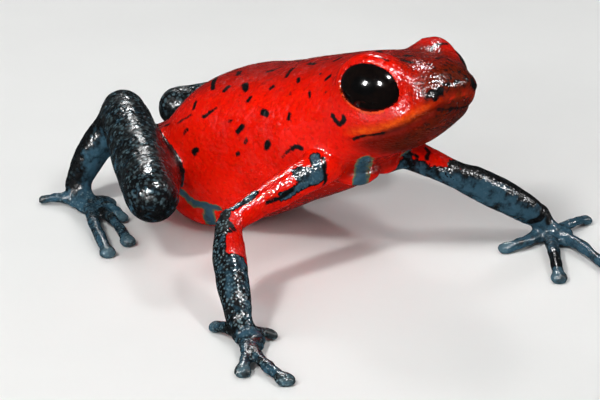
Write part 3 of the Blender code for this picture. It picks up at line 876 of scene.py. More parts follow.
# Marks on the snout, as places in millimetres on the head before it is turned, and how far
# along the spine the snout starts
SNOUT_START = 17.0
SNOUT_MARKS = (
    (0.20, ((-1.26, -10.34, 9.28), (-1.02, -10.55, 9.42))),
    (0.12, ((-1.48, -10.30, 9.20), (-1.20, -10.52, 9.16))),
    (0.07, ((-0.66, -10.60, 9.68), (-0.52, -10.64, 9.72))),
    (0.08, ((-0.14, -10.67, 9.72), (0.04, -10.68, 9.78))),
    (0.20, ((1.26, -10.34, 9.28), (1.04, -10.55, 9.44))),
    (0.11, ((1.46, -10.30, 9.18), (1.22, -10.52, 9.14))),
    (0.06, ((0.74, -10.58, 9.66), (0.62, -10.62, 9.70))),
    (0.05, ((0.16, -9.17, 10.38), (0.90, -8.98, 10.22))),
    (0.07, ((-0.62, -9.37, 10.33), (-0.57, -9.48, 10.33))),
    (0.06, ((-0.04, -9.83, 10.35), (0.12, -10.02, 10.29))),
    (0.06, ((0.70, -9.35, 10.28), (0.66, -9.50, 10.25))),
    (0.045, ((-0.95, -10.51, 8.56), (-0.19, -10.68, 8.53), (0.75, -10.54, 8.36))),
)
# Marks on the digits and wrists, as places in millimetres
DIGIT_MARKS = (
    (0.30, ((5.05, -12.10, 0.4), (3.75, -13.35, 0.4))),
    (0.20, ((-5.20, 6.40, 0.5), (-5.60, 5.40, 0.4))),
    (0.16, ((6.15, -9.55, 1.9), (6.60, -10.30, 1.7), (6.35, -10.75, 1.1))),
)

# How far inside the blue the trunk and the limb segments are at their start and their end, in
# millimetres. A segment that isn't named is blue throughout.
BLUE_RUNS = {
    "trunk": (-1.0, -1.0),
    "arm_right_0": (-0.6, -0.5),
    "arm_right_1": (0.5, 0.9),
    "arm_left_0": (-0.6, -0.5),
    "arm_left_1": (0.6, 1.2),
    "leg_right_0": (0.45, 1.0),
    "leg_left_0": (0.45, 1.0),
}
# How blue a segment's dark skin is at its start and at its end, from 0, which is black, to
# 1, the angle of its bluest side with how much it adds, and how thick its pale granules lie
# at the start and at the end of its top
DARK_SKIN = {
    "trunk": (1.00, 1.00, 0.0, 0.00, 0.05, 0.05),
    "arm_right_0": (0.75, 0.75, 0.0, 0.00, 0.60, 0.80),
    "arm_right_1": (0.10, 0.20, 20.0, 0.15, 0.80, 1.00),
    "arm_left_0": (0.45, 0.55, 180.0, 0.10, 0.25, 0.20),
    "arm_left_1": (0.28, 0.42, -125.0, 0.42, 0.35, 0.20),
    "leg_right_0": (0.00, 0.10, 180.0, 0.10, 0.45, 0.60),
    "leg_right_1": (0.25, 0.05, 135.0, 0.20, 0.75, 0.65),
    "leg_right_2": (0.40, 0.45, 150.0, 0.45, 0.20, 0.35),
    "leg_left_0": (0.00, 0.10, 180.0, 0.10, 0.45, 0.60),
    "leg_left_1": (0.25, 0.05, 180.0, 0.20, 0.75, 0.65),
    "leg_left_2": (0.40, 0.45, 180.0, 0.40, 0.20, 0.35),
}
# The same for each hand or foot: how blue, and how thick with granules
DARK_HANDS = ((0.50, 0.70), (0.78, 0.35), (0.70, 0.60), (0.70, 0.60))
# How matt the limbs that aren't plainly wet are: the upper arms are glossier, the shanks duller
MATT_LIMBS = {"leg_right_1": 0.3, "leg_left_1": 0.3, "arm_right_0": -0.5, "arm_left_0": -0.5}
# The thighs, and how far they reach over what lies beside them when parts share out the skin
THIGHS = ("leg_right_0", "leg_left_0")
THIGH_LEAD = 0.12


def eye_local(points, side):
    """Points in an eye's own frame divided by its radii, their distance there from its
    outward axis, the angle round it (0 in front, 90 on top), and how much of that distance
    the eye's opening takes, on a smooth curve through its values."""
    centre, axes = eye_place(side)
    local = (points - centre) @ axes.T / EYE_RADII
    around = np.degrees(np.arctan2(local[:, 1], local[:, 0]))
    turns = np.linspace(-200.0, 200.0, len(OPENING) + 3)
    values = OPENING[-1:] + OPENING + OPENING[:2]
    return local, np.hypot(local[:, 0], local[:, 1]), around, smooth_through(turns, values, around)


def eye_socket(points, quads, side):
    """Opens the skin over an eye. Round the opening the lid lies a little over the ball and
    blends into the brow, over a wider strip in front; inside it the skin dips under the
    ball; the points nearest to the opening's edge are moved onto it, so that the edge is an
    even curve. Gives the points, and how far outside the opening each is where the lid
    shows, which is below and behind the eye."""
    centre, axes = eye_place(side)
    local, off, around, opening = eye_local(points, side)
    ahead = hump(around, -12.0, 34.0)
    front = (local[:, 2] > -0.15 - 0.75 * ahead) & (off < 1.9)
    edge = front & (np.abs(off - opening) < SNAP)
    slide = np.where(edge, opening / np.maximum(off, 1e-6), 1.0)
    local[:, :2] *= slide[:, None]
    off = off * slide
    ball = np.sqrt(np.clip(1.0 - off**2, 0.0, 1.0))
    lid = ball + (0.055 - 0.03 * ahead) / EYE_RADII[2]
    blend = 1.0 - fade(off, opening + 0.01, opening + 0.22 + 0.50 * ahead)
    sunk = np.minimum(local[:, 2], ball - SINK)
    laid = local[:, 2] + np.minimum(lid - local[:, 2], 0.30) * blend
    open_part = front & (off < opening - 1e-4)
    local[:, 2] = np.where(front, np.where(open_part, sunk, laid), local[:, 2])
    strip = np.where(front, fade(off, opening + 0.02, opening + 0.10), 0.0)
    strip = strip * (1.0 - fade(off, 1.35, 1.8))
    for _ in range(4):
        local = smoothed(local, quads, strip[:, None] * SOFTENING, 5)
        size = np.linalg.norm(local, axis=1)
        close = front & ~open_part & (size < CLEAR)
        local *= np.where(close, CLEAR / size, 1.0)[:, None]
    below = fade(-np.sin(np.radians(around + 25.0)), -0.1, 0.5)
    rim = np.where(front, off - opening, FAR) + FAR * (1.0 - below)
    return centre + (local * EYE_RADII) @ axes, rim


def skin_places(points):
    """Everything the shape and the colours need to know about each point: its place on the
    trunk and on every limb segment, and how far it is from the skin of each."""
    places = {"trunk": body_place(points)}
    for name, path, radii in limb_segments():
        places[name] = tube_place(points, path, radii)
    return places


def hand_distance(points):
    """How far each point is from the palm of each hand or foot."""
    found = []
    for _, (middle, _) in HANDS:
        off = points - np.array([*middle, PALM_HEIGHT])
        found.append(np.linalg.norm(off / PALM, axis=1) * 0.7 - 0.7)
    return found


def digit_distance(points):
    """How far each point is from the nearest digit of each hand or foot."""
    found = []
    for _, (_, digits) in HANDS:
        lines = [
            (disc, ((*root, DIGIT_HEIGHT), (*tip, DISC_HEIGHT))) for root, _, tip, disc in digits
        ]
        found.append(-line_field(lines, points))
    return found


def part_gaps(points, places):
    """How far each point is from the skin of the trunk, of each limb segment and each palm."""
    return np.stack([place[-1] for place in places.values()] + hand_distance(points))


def carved(points, quads, granules):
    """The finer shape: folds where limbs meet the trunk and brows meet the head are softened,
    then the mouth, lips, nostrils, ripples and granules move each point along its normal, and
    the sockets are opened. Last, nothing is left under the ground."""
    places = skin_places(points)
    gaps = part_gaps(points, places)
    second = np.partition(gaps, 1, axis=0)[1]
    join = 1.0 - fade(second, 0.25, 1.1)
    on_hand = 1.0 - fade(np.min(gaps[-len(HANDS) :], 0), 0.0, 0.5)
    join *= 1.0 - 0.85 * on_hand
    join *= 1.0 - fade(0.75 - points[:, 2], 0.0, 0.3)
    points = smoothed(points, quads, join[:, None] * SOFTENING, 30)
    for side in (-1, 1):
        local, off, _, _ = eye_local(points, side)
        ring = fade(off, 1.02, 1.25) * (1.0 - fade(off, 2.2, 2.8)) * fade(local[:, 2], -1.7, -1.1)
        points = smoothed(points, quads, ring[:, None] * SOFTENING, 45)
    points = evened(points, quads, 6)
    normal = point_normals(points, quads)

    move = np.zeros(len(points))
    along, _, _, outside = places["trunk"]
    on_body = 1.0 - fade(outside, 0.1, 0.5)
    head = on_body * fade(along, 14.5, 16.0)

    gap, above, corner = mouth_place(points)
    open_part = fade(corner, 0.0, 14.0)
    for height, off, width, side in MOUTH_RELIEF:
        shown = side * above > 0.0 if side else True
        move += height * hump(gap, off, width) * open_part * shown

    straight = head_straight(points)
    for side in (-1, 1):
        ridge = ((0.0, [(side * x, y, z) for x, y, z in RIDGE]),)
        move += RIDGE_HEIGHT * hump(line_field(ridge, straight), 0.0, RIDGE_WIDTH)
        off = nostril_distance(points, side)
        for height, middle, width in NOSTRIL_RELIEF:
            move += height * hump(off, middle, width)

    rough = 0.35 + 0.65 * fade(np.abs(lattice_noise(points, *ROUGHER)), 0.0, 0.7)
    waves = sum(height * lattice_noise(points, size, seed) for height, size, seed in RIPPLES)
    grains = pebbles(points, *GRANULES)
    quiet = (1.0 - 0.6 * head) * (1.0 - 0.5 * on_body)
    small = 1.0 - 0.75 * on_hand
    move += waves * quiet * small
    move += granules * rough * (grains - 0.4) * quiet * small
    points = points + normal * move[:, None]
    rims = []
    for side in (-1, 1):
        points, rim = eye_socket(points, quads, side)
        rims.append(rim)
    points[:, 2] = np.maximum(points[:, 2], 0.0)
    return points, places, np.minimum(*rims)


def line_field(lines, points):
    """How far each point lies inside the nearest of some lines in space: the line's half
    width less the distance to it, in millimetres."""
    inside = np.full(len(points), -FAR)
    for half, places in lines:
        for one, two in zip(np.array(places[:-1]), np.array(places[1:])):
            run = two - one
            t = np.clip((points - one) @ run / (run @ run), 0.0, 1.0)
            gap = np.linalg.norm(points - one - t[:, None] * run, axis=1)
            inside = np.maximum(inside, half - gap)
    return inside


def part_fields(points, places, nearest):
    """black and blue: how far inside a black mark and inside the blue each point is, in
    millimetres. slate and salt: how blue and how full of granules its dark skin is. Each is
    read from the tables of the part that the point is nearest to."""
    on_hand = nearest >= len(places)
    black = np.full(len(points), -FAR)
    blue = np.where(on_hand, 1.0, -1.0)
    slate, salt = np.array(DARK_HANDS)[np.maximum(nearest - len(places), 0)].T
    for i, (name, (along, angle, radius, _)) in enumerate(places.items()):
        here = nearest == i
        marks, edges, reds = (
            stroke_field(table.get(name, ()), along, angle, radius)
            for table in (BLACK_MARKS, BLUE_MARKS, RED_MARKS)
        )
        black = np.where(here, marks, black)
        share = np.clip(along / max(along[here].max(), 1e-6), 0.0, 1.0)
        start, end = BLUE_RUNS.get(name, (1.0, 1.0))
        level = start + (end - start) * share
        blue = np.where(here, np.minimum(np.maximum(level, edges), -reds), blue)
        start, end, best, more, few, many = DARK_SKIN[name]
        smooth = start + (end - start) * share + more * np.cos(np.radians(angle - best))
        slate = np.where(here, smooth, slate)
        thick = (few + (many - few) * share) * (0.45 + 0.55 * np.cos(np.radians(angle)))
        salt = np.where(here, thick, salt)
    straight = head_straight(points)
    snout = places["trunk"][0] > SNOUT_START
    black = np.where(snout, np.maximum(black, line_field(SNOUT_MARKS, straight)), black)
    black = np.maximum(black, line_field(DIGIT_MARKS, points))
    return {"black": black, "blue": blue, "slate": slate, "salt": salt}


def head_fields(points, along, angle, on_body):
    """The shares of the lip's orange; of deep red, which is in part painted shade under the jaw
    and the belly and on the top of the back and head; of brown, in part painted shade and
    painted reflection; and of black painted as shade in the mouth's groove and the nostrils.
    height is the sine of the angle round the body: -1 below and 1 on top.
    Along the spine the neck is at 14.9, the eyes are at 17.1 and the snout ends at 20.6."""
    height = np.sin(np.radians(angle))
    gap, above, corner = mouth_place(points)
    open_part = fade(corner, 0.0, 16.0)
    warm = hump(gap, 0.38, 0.21) * (above > 0.0) * open_part
    warm *= 1.0 - 0.85 * fade(corner, 46.0, 64.0)
    # Painted shade: the mouth's groove and the nostrils' pits are painted black
    dark = hump(gap, 0.0, 0.085) * (0.25 + 0.75 * open_part) * fade(corner, -2.0, 3.0)
    for side in (-1, 1):
        dark = np.maximum(dark, 1.0 - fade(nostril_distance(points, side), 0.10, 0.18))

    # Painted shade: the red is darkened under the jaw and the belly, on the top of the back and
    # head, and in part on the snout's front; the cheeks are darkened too
    front = fade(along, 19.0, 20.5)
    jaw = fade(along, 15.0, 17.0) * fade(-height, 0.30, 0.62)
    belly = (1.0 - fade(along, 15.0, 16.5)) * fade(-height, 0.55, 0.95)
    top_shade = (0.42 + 0.16 * fade(along, 15.5, 18.0)) * fade(height, 0.70, 0.98)
    cheeks = 0.30 * fade(along, 15.5, 17.5)
    deep_and_shade = np.maximum.reduce([jaw, 0.6 * belly, top_shade, 0.8 * front, cheeks]) * on_body
    # Painted reflection and shade: a brown band along the jaw's lower edge; the brown on the
    # snout's front and the top of the head is in part painted shade
    edge = hump(height, -0.93, 0.12) * fade(along, 16.0, 17.5)
    brow = 0.5 * fade(along, 16.8, 18.5) * fade(height, 0.55, 0.9)
    brown = np.maximum.reduce([front * fade(height, -0.6, 0.3), 0.8 * edge, brow]) * on_body
    return {"warm": warm, "deep_and_shade": deep_and_shade, "brown": brown, "dark": dark}


def disc_field(points):
    """The share of pale skin: 1 on the middle of a disc and 0 past its edge."""
    pale = np.zeros(len(points))
    for _, (_, digits) in HANDS:
        for _, _, tip, disc in digits:
            off = np.hypot(points[:, 0] - tip[0], points[:, 1] - tip[1])
            pale = np.maximum(pale, 1.0 - fade(off, disc * 0.6, disc * 1.3))
    return pale * (1.0 - fade(points[:, 2], 0.8, 1.1))


def skin_fields(points, places, rim):
    """The values the skin's colours are made from, one per point: those of its part and of
    the head, the shares of the eyes' rims, of the thighs' flush, of pale discs and of fine
    grain, whether it is on the trunk, and how matt it is, from -0.5, which is glossy, to
    1.8, which is dull."""
    names = list(places)
    gaps = part_gaps(points, places)
    gaps[-len(HANDS) :] = np.minimum(gaps[-len(HANDS) :], digit_distance(points))
    for name in THIGHS:
        gaps[names.index(name)] -= THIGH_LEAD
    nearest = gaps.argmin(0)
    near = {name: nearest == i for i, name in enumerate(names)}
    along, angle, _, outside = places["trunk"]
    on_body = 1.0 - fade(outside, 0.15, 0.6)

    flush = np.zeros(len(points))
    for name in THIGHS:
        share = 1.0 - fade(places[name][0], 5.5, 8.0)
        top = fade(np.cos(np.radians(places[name][1])), -0.3, 0.4)
        flush = np.where(near[name], share * top, flush)
    fine = np.where(nearest >= len(names), 1.0, on_body * fade(along, 15.5, 17.0))
    for name in names[1:]:
        fine = np.where(near[name], 1.0 if "arm" in name else 0.30, fine)
    matt = 0.1 * on_body * near["trunk"] * (1.0 - fade(along, 13.5, 16.0))
    for side in (-1, 1):
        _, off, around, _ = eye_local(points, side)
        under = fade(np.cos(np.radians(around + 95.0)), 0.45, 0.80) * (1.0 - fade(off, 1.7, 2.4))
        matt = np.maximum(matt, 1.8 * under)
    for name, value in MATT_LIMBS.items():
        matt = np.where(near[name], value, matt)
    return {
        **part_fields(points, places, nearest),
        **head_fields(points, along, angle, on_body),
        "edging": np.where(near["trunk"], 1.0, 0.0),
        "rim": 1.0 - fade(np.abs(rim - 0.02), 0.02, 0.06),
        "flush": flush,
        "pale": disc_field(points),
        "fine": fine,
        "matt": matt,
    }


def new_piece(name, points, faces, fields):
    """A smooth-shaded mesh object whose place is in its mesh, in metres, with its fields."""
    mesh = bpy.data.meshes.new(name)
    place = (np.asarray(points, float) + TRUNK_PLACE) * MM
    mesh.from_pydata(place.tolist(), [], faces)
    mesh.shade_smooth()
    for field, values in fields.items():
        layer = mesh.attributes.new(field, "FLOAT", "POINT")
        layer.data.foreach_set("value", np.asarray(values, np.float32))
    mesh.update()
    piece = bpy.data.objects.new(name, mesh)
    bpy.context.scene.collection.objects.link(piece)
    return piece


# Materials

class Tree:
    """A node tree being drawn up: each step adds one node and links what feeds it."""

    def __init__(self, tree):
        self.tree = tree
        self.count = 0

    def feed(self, socket, value):
        """Links an output to a socket, or sets the socket to a value or an opaque colour."""
        if isinstance(value, bpy.types.NodeSocket):
            self.tree.links.new(value, socket)
        elif socket.type == "RGBA":
            socket.default_value = (*value, 1.0)
        else:
            socket.default_value = value

    def fill(self, node, **inputs):
        """Feeds a node's sockets by their names, with _ for a space."""
        for key, value in inputs.items():
            self.feed(node.inputs[key.replace("_", " ")], value)

    def add(self, kind, settings=None, **inputs):
        node = self.tree.nodes.new(kind)
        node.location = (200 * (self.count % 12), -260 * (self.count // 12))
        self.count += 1
        for key, value in (settings or {}).items():
            setattr(node, key, value)
        self.fill(node, **inputs)
        return node

    def math(self, how, *values):
        node = self.add("ShaderNodeMath", {"operation": how})
        for socket, value in zip(node.inputs, values):
            self.feed(socket, value)
        return node.outputs[0]

    def times(self, a, b):
        return self.math("MULTIPLY", a, b)

    def plus(self, base, value, share):
        """The base plus a share of the value."""
        return self.math("MULTIPLY_ADD", value, share, base)

    def ramp(self, value, low, high, start=0.0, end=1.0):
        """start below low and end above high, with a smooth S between."""
        node = self.add("ShaderNodeMapRange", {"interpolation_type": "SMOOTHSTEP"})
        for socket, item in zip(node.inputs, (value, low, high, start, end)):
            self.feed(socket, item)
        return node.outputs[0]

    def mix(self, factor, one, two):
        """One colour where the factor is 0 and the other where it is 1."""
        node = self.add("ShaderNodeMix", {"data_type": "RGBA", "clamp_factor": True})
        for i, item in ((0, factor), (6, one), (7, two)):
            self.feed(node.inputs[i], item)
        return node.outputs[2]

    def blend(self, factor, one, two):
        """One value where the factor is 0 and the other where it is 1."""
        node = self.add("ShaderNodeMix", {"data_type": "FLOAT"})
        for i, item in ((0, factor), (2, one), (3, two)):
            self.feed(node.inputs[i], item)
        return node.outputs[0]

    def noise(self, where, scale, detail=2.0, roughness=0.5):
        inputs = {"Vector": where, "Scale": scale, "Detail": detail, "Roughness": roughness}
        return self.add("ShaderNodeTexNoise", None, **inputs).outputs["Fac"]

    def field(self, name):
        return self.add("ShaderNodeAttribute", {"attribute_name": name}).outputs["Fac"]

    def grains(self, where, count):
        """Granules, so many to a millimetre."""
        return self.add("ShaderNodeGroup", {"node_tree": grain_group()}, Vector=where, Grains=count)

    def bump(self, height, strength, distance):
        """The normal tipped by a height, whose distance is in millimetres."""
        inputs = {"Strength": strength, "Distance": distance * MM, "Height": height}
        return self.add("ShaderNodeBump", None, **inputs).outputs[0]

    def where(self):
        """The place on the object in millimetres."""
        place = self.add("ShaderNodeTexCoord").outputs["Object"]
        scale = {"Vector": place, "Scale": 1.0 / MM}
        return self.add("ShaderNodeVectorMath", {"operation": "SCALE"}, **scale).outputs[0]


def grain_group():
    """Rounded granules with a fine film of unevenness over them, shared by every finish."""
    if "FineGrain" in bpy.data.node_groups:
        return bpy.data.node_groups["FineGrain"]
    group = bpy.data.node_groups.new("FineGrain", "ShaderNodeTree")
    face = group.interface
    face.new_socket("Vector", in_out="INPUT", socket_type="NodeSocketVector")
    size = face.new_socket("Grains", in_out="INPUT", socket_type="NodeSocketFloat")
    size.default_value = 3.0
    for name in ("Height", "Tops"):
        face.new_socket(name, in_out="OUTPUT", socket_type="NodeSocketFloat")
    draw = Tree(group)
    given = draw.add("NodeGroupInput").outputs
    cell = draw.add(
        "ShaderNodeTexVoronoi",
        {"feature": "SMOOTH_F1"},
        Vector=given["Vector"],
        Scale=given["Grains"],
        Smoothness=0.35,
        Randomness=0.9,
    )
    dome = draw.math("SUBTRACT", 1.0, draw.math("POWER", cell.outputs["Distance"], 1.6))
    film = draw.noise(given["Vector"], draw.times(given["Grains"], 2.3), 3.0, 0.55)
    put = draw.add("NodeGroupOutput")
    draw.fill(put, Height=draw.plus(dome, film, 0.30), Tops=draw.ramp(dome, 0.72, 0.94))
    return group


def new_finish(name):
    """A material with its Principled shader and its output joined up."""
    finish = bpy.data.materials.new(name)
    finish.use_nodes = True
    finish.node_tree.nodes.clear()
    draw = Tree(finish.node_tree)
    shader = draw.add("ShaderNodeBsdfPrincipled")
    draw.add("ShaderNodeOutputMaterial", Surface=shader.outputs[0])
    return finish, draw, shader


def skin_finish(look):
    """Wet scarlet skin with black spots, over to black and slate blue on the limbs."""
    finish, draw, shader = new_finish("wet_skin")
    place = draw.where()
    broad = draw.noise(place, 0.45, 2.0)
    patchy = draw.noise(place, 1.6, 3.0)
    fine = draw.noise(place, 5.0, 4.0, 0.6)
    coarse = draw.grains(place, 4.0).outputs
    small = draw.grains(place, 6.8).outputs
    tiny = draw.field("fine")
    tops = draw.blend(tiny, coarse["Tops"], small["Tops"])
    height = draw.blend(tiny, coarse["Height"], draw.times(small["Height"], 0.75))

    wobble = draw.math("SUBTRACT", fine, 0.5)
    drift = draw.math("SUBTRACT", patchy, 0.5)
    spot = draw.ramp(draw.plus(draw.field("black"), wobble, 0.20), -0.08, 0.02)
    blue_edge = draw.plus(draw.plus(draw.field("blue"), drift, 0.35), wobble, 0.35)
    blue = draw.ramp(blue_edge, -0.04, 0.02)
    inner = draw.ramp(blue_edge, 0.03, 0.13)

    red = draw.mix(draw.ramp(broad, 0.35, 0.65), look.mid_red, look.bright_red)
    red = draw.mix(draw.ramp(fine, 0.50, 0.72, 0.0, 0.35), red, look.deep_red_and_shade)
    # Painted sheen: the tops of the red granules are tinted orange
    red = draw.mix(draw.times(coarse["Tops"], 0.14), red, look.orange)
    # Painted shade: deep red under the jaw and the belly and on the top of the back and head
    red = draw.mix(draw.times(draw.field("deep_and_shade"), 0.92), red, look.deep_red_and_shade)
    # Brown of the snout, in part painted shade, and painted reflection and shade along the jaw's
    # lower edge
    red = draw.mix(draw.times(draw.field("brown"), 0.8), red, look.brown)
    streak = draw.times(draw.field("brown"), draw.ramp(fine, 0.52, 0.60, 0.0, 0.9))
    red = draw.mix(streak, red, look.black)
    lip = draw.times(draw.field("warm"), draw.ramp(fine, 0.36, 0.58, 0.95, 0.45))
    red = draw.mix(lip, red, look.lip)

    level = draw.plus(draw.plus(patchy, draw.field("slate"), 0.42), wobble, 0.45)
    slate = draw.mix(draw.ramp(level, 0.60, 0.90), look.black, look.slate)
    spread = draw.plus(draw.plus(draw.field("salt"), drift, 1.3), wobble, 0.5)
    shown = draw.times(tops, draw.ramp(spread, 0.05, 0.85, 0.0, 0.85))
    tip = draw.mix(draw.ramp(patchy, 0.35, 0.60, 0.0, 0.45), look.pale, look.slate)
    tip = draw.mix(draw.field("flush"), tip, look.flush)
    slate = draw.mix(shown, slate, tip)
    slate = draw.mix(draw.times(draw.field("flush"), 0.06), slate, look.flush)
    discs = draw.times(draw.field("pale"), draw.ramp(patchy, 0.35, 0.6, 0.10, 0.35))
    slate = draw.mix(discs, slate, look.pale)
    border = draw.mix(draw.field("edging"), look.black, look.edging)
    slate = draw.mix(inner, border, slate)

    colour = draw.mix(blue, red, slate)
    colour = draw.mix(spot, colour, look.black)
    # Painted shade: black in the mouth's groove and in the nostrils
    colour = draw.mix(draw.field("dark"), colour, look.black)
    colour = draw.mix(draw.times(draw.field("rim"), 0.55), colour, look.lip)
    rough = draw.ramp(patchy, 0.35, 0.65, look.wetness + 0.08, look.wetness - 0.08)
    draw.fill(
        shader,
        Base_Color=colour,
        Roughness=draw.plus(rough, draw.field("matt"), 0.18),
        IOR=1.40,
        Specular_IOR_Level=draw.ramp(draw.field("matt"), -0.6, 1.2, 0.32, 0.07),
        Subsurface_Weight=0.06,
        Subsurface_Radius=(1.0, 0.4, 0.3),
        Subsurface_Scale=0.25 * MM,
        Normal=draw.bump(height, 0.8, 0.04),
    )
    return finish


def eye_finish(look):
    """A near-black eye: a dark brown iris with fine rays round a black pupil, very glossy."""
    finish, draw, shader = new_finish("wet_eye")
    place = draw.where()
    rays = draw.noise(place, 5.0, 4.0, 0.65)
    ring = draw.plus(draw.field("pupil"), draw.math("SUBTRACT", rays, 0.5), 0.10)
    iris = draw.mix(draw.ramp(rays, 0.38, 0.66), look.iris_dark, look.iris)
    colour = draw.mix(draw.ramp(ring, 0.36, 0.44), look.pupil, iris)
    draw.fill(
        shader,
        Base_Color=draw.mix(draw.ramp(ring, 0.80, 0.98), colour, look.pupil),
        IOR=1.42,
        Specular_IOR_Level=0.30,
        Roughness=draw.ramp(rays, 0.3, 0.7, 0.08, 0.12),
        Normal=draw.bump(draw.grains(place, 2.0).outputs["Height"], 0.02, 0.01),
    )
    return finish


def floor_finish(look):
    """A pale matt floor with a faint fine grain."""
    finish, draw, shader = new_finish("pale_floor")
    place = draw.where()
    cloudy = draw.noise(place, 0.05, 3.0)
    shade = tuple(part * 0.93 for part in look.floor)
    draw.fill(
        shader,
        Base_Color=draw.mix(draw.ramp(cloudy, 0.3, 0.7), shade, look.floor),
        Roughness=draw.ramp(cloudy, 0.3, 0.7, 0.55, 0.7),
        Normal=draw.bump(draw.grains(place, 1.4).outputs["Height"], 0.15, 0.02),
    )
    return finish


# What a user may change

def number(name, text, default, low, high):
    """A setting between two limits."""
    return FloatProperty(name=name, description=text, default=default, min=low, max=high)


def colour(name, text, default):
    """A colour setting in linear RGB."""
    return FloatVectorProperty(
        name=name, description=text, default=default, size=3, subtype="COLOR", min=0.0, max=1.0
    )


class DartFrogSkin(bpy.types.PropertyGroup):
    """The skin's fineness and colours."""

    voxel: number("Fineness", "The size of the skin's quads, in millimetres", 0.11, 0.06, 0.4)
    granules: number("Granules", "The height of the granules, in millimetres", 0.035, 0.0, 0.2)
    wetness: number("Sheen", "The skin's roughness where it is wet", 0.20, 0.1, 0.8)
    bright_red: colour("Bright red", "The red of the back and flanks", (0.78, 0.007, 0.0008))
    mid_red: colour("Red", "The red between the brightest parts", (0.66, 0.005, 0.0006))
    # Deep red: the darker red of the fine mottling, and painted shade under the jaw and the body
    # and on the top
    deep_red_and_shade: colour("Deep red", "The red of the jaw and under the body", (0.11, 0.004, 0.0005))
    # Orange: painted sheen on the tops of the red granules
    orange: colour("Orange", "The tops of the red granules", (0.80, 0.05, 0.008))
    lip: colour("Lip orange", "The orange of the upper lip", (0.70, 0.085, 0.003))
    # Brown: the snout's red-brown, in part painted shade, and painted reflection along the jaw's
    # lower edge
    brown: colour("Brown", "The red-brown of the snout", (0.085, 0.011, 0.001))
    flush: colour("Flush", "The purple tint of the thighs", (0.075, 0.030, 0.030))
    # Black: the spots and the dark of the limbs, and painted shade in the mouth's groove and the
    # nostrils
    black: colour("Black", "The spots and the dark of the limbs", (0.004, 0.0045, 0.005))
    slate: colour("Slate blue", "The blue of the limbs", (0.033, 0.082, 0.120))
    pale: colour("Pale blue", "The tops of the blue granules", (0.15, 0.23, 0.25))
    edging: colour("Edging", "The pale edge of the blue on the trunk", (0.13, 0.15, 0.07))


class DartFrogEyes(bpy.types.PropertyGroup):
    """The eyes' fineness and colours."""

    rings: IntProperty(
        name="Rings", description="Rows of quads from pole to pole", default=96, min=12, max=200
    )
    pupil: colour("Pupil", "The black of the pupil", (0.002, 0.002, 0.002))
    iris: colour("Iris", "The brown of the iris", (0.006, 0.0035, 0.0025))
    iris_dark: colour("Dark iris", "The darker rays of the iris", (0.003, 0.002, 0.002))


class DartFrogStage(bpy.types.PropertyGroup):
    """The floor, the lights and the camera."""

    floor: colour("Floor", "The colour of the floor", (0.84, 0.84, 0.82))
    reach: FloatProperty(
        name="Floor size",
        description="Half the side of the floor",
        default=1.5,
        min=0.1,
        subtype="DISTANCE",
    )
    distance: FloatProperty(
        name="Camera distance",
        description="How far the camera stands from the frog",
        default=0.19,
        min=0.05,
        subtype="DISTANCE",
    )


# What the buttons do

class DARTFROG_OT_stage(bpy.types.Operator):
    """Lay the floor, light it softly and set the camera."""

    bl_idname = "dartfrog.add_stage"
    bl_label = "Stage"

    def execute(self, context):
        look = context.scene.dart_frog_stage
        side = look.reach
        mesh = bpy.data.meshes.new("floor")
        corners = [(-side, -side, 0.0), (side, -side, 0.0), (side, side, 0.0), (-side, side, 0.0)]
        mesh.from_pydata(corners, [], [(0, 1, 2, 3)])
        mesh.materials.append(floor_finish(look))
        floor = bpy.data.objects.new("floor", mesh)
        floor.visible_glossy = False  # or the wet skin would mirror it as a pale band
        context.scene.collection.objects.link(floor)
        place_camera(context.scene, look.distance)
        light_up(context.scene)
        return {"FINISHED"}


def direction(azimuth, elevation):
    """The way from the frog to something seen at an azimuth and an elevation, in degrees."""
    a = math.radians(azimuth)
    e = math.radians(elevation)
    return Vector((math.sin(a) * math.cos(e), -math.cos(a) * math.cos(e), math.sin(e)))


# The camera fitted to the picture: its azimuth and elevation, the picture's scale and width,
# where the frame's middle lies in it in pixels, and the width of the camera's sensor
CAMERA_TURN = -48.5
CAMERA_RISE = 22.0
PIXELS_PER_MM = 21.6
PICTURE_WIDTH = 600
MIDDLE_SHIFT = (-20.0, 24.0)
SENSOR = 36.0


def facing(place, target):
    """A matrix at a place that looks at a target, with its top upwards."""
    back = (place - target).normalized()
    right = Vector((0.0, 0.0, 1.0)).cross(back).normalized()
    above = back.cross(right)
    turn = Matrix((right, above, back)).transposed().to_4x4()
    return Matrix.Translation(place) @ turn


def place_camera(scene, distance):
    """The camera at the picture's angle and framing."""
    back = direction(CAMERA_TURN, CAMERA_RISE)
    right = Vector((0.0, 0.0, 1.0)).cross(back).normalized()
    above = back.cross(right)
    middle = right * (-MIDDLE_SHIFT[0] / PIXELS_PER_MM) + above * (MIDDLE_SHIFT[1] / PIXELS_PER_MM)
    target = (middle + Vector(TRUNK_PLACE)) * MM
    data = bpy.data.cameras.new("camera")
    data.sensor_width = SENSOR
    data.lens = PIXELS_PER_MM * SENSOR * distance / MM / PICTURE_WIDTH
    data.clip_start = 0.005
    data.clip_end = 20.0
    camera = bpy.data.objects.new("camera", data)
    camera.matrix_world = facing(target + back * distance, target)
    scene.collection.objects.link(camera)
    scene.camera = camera


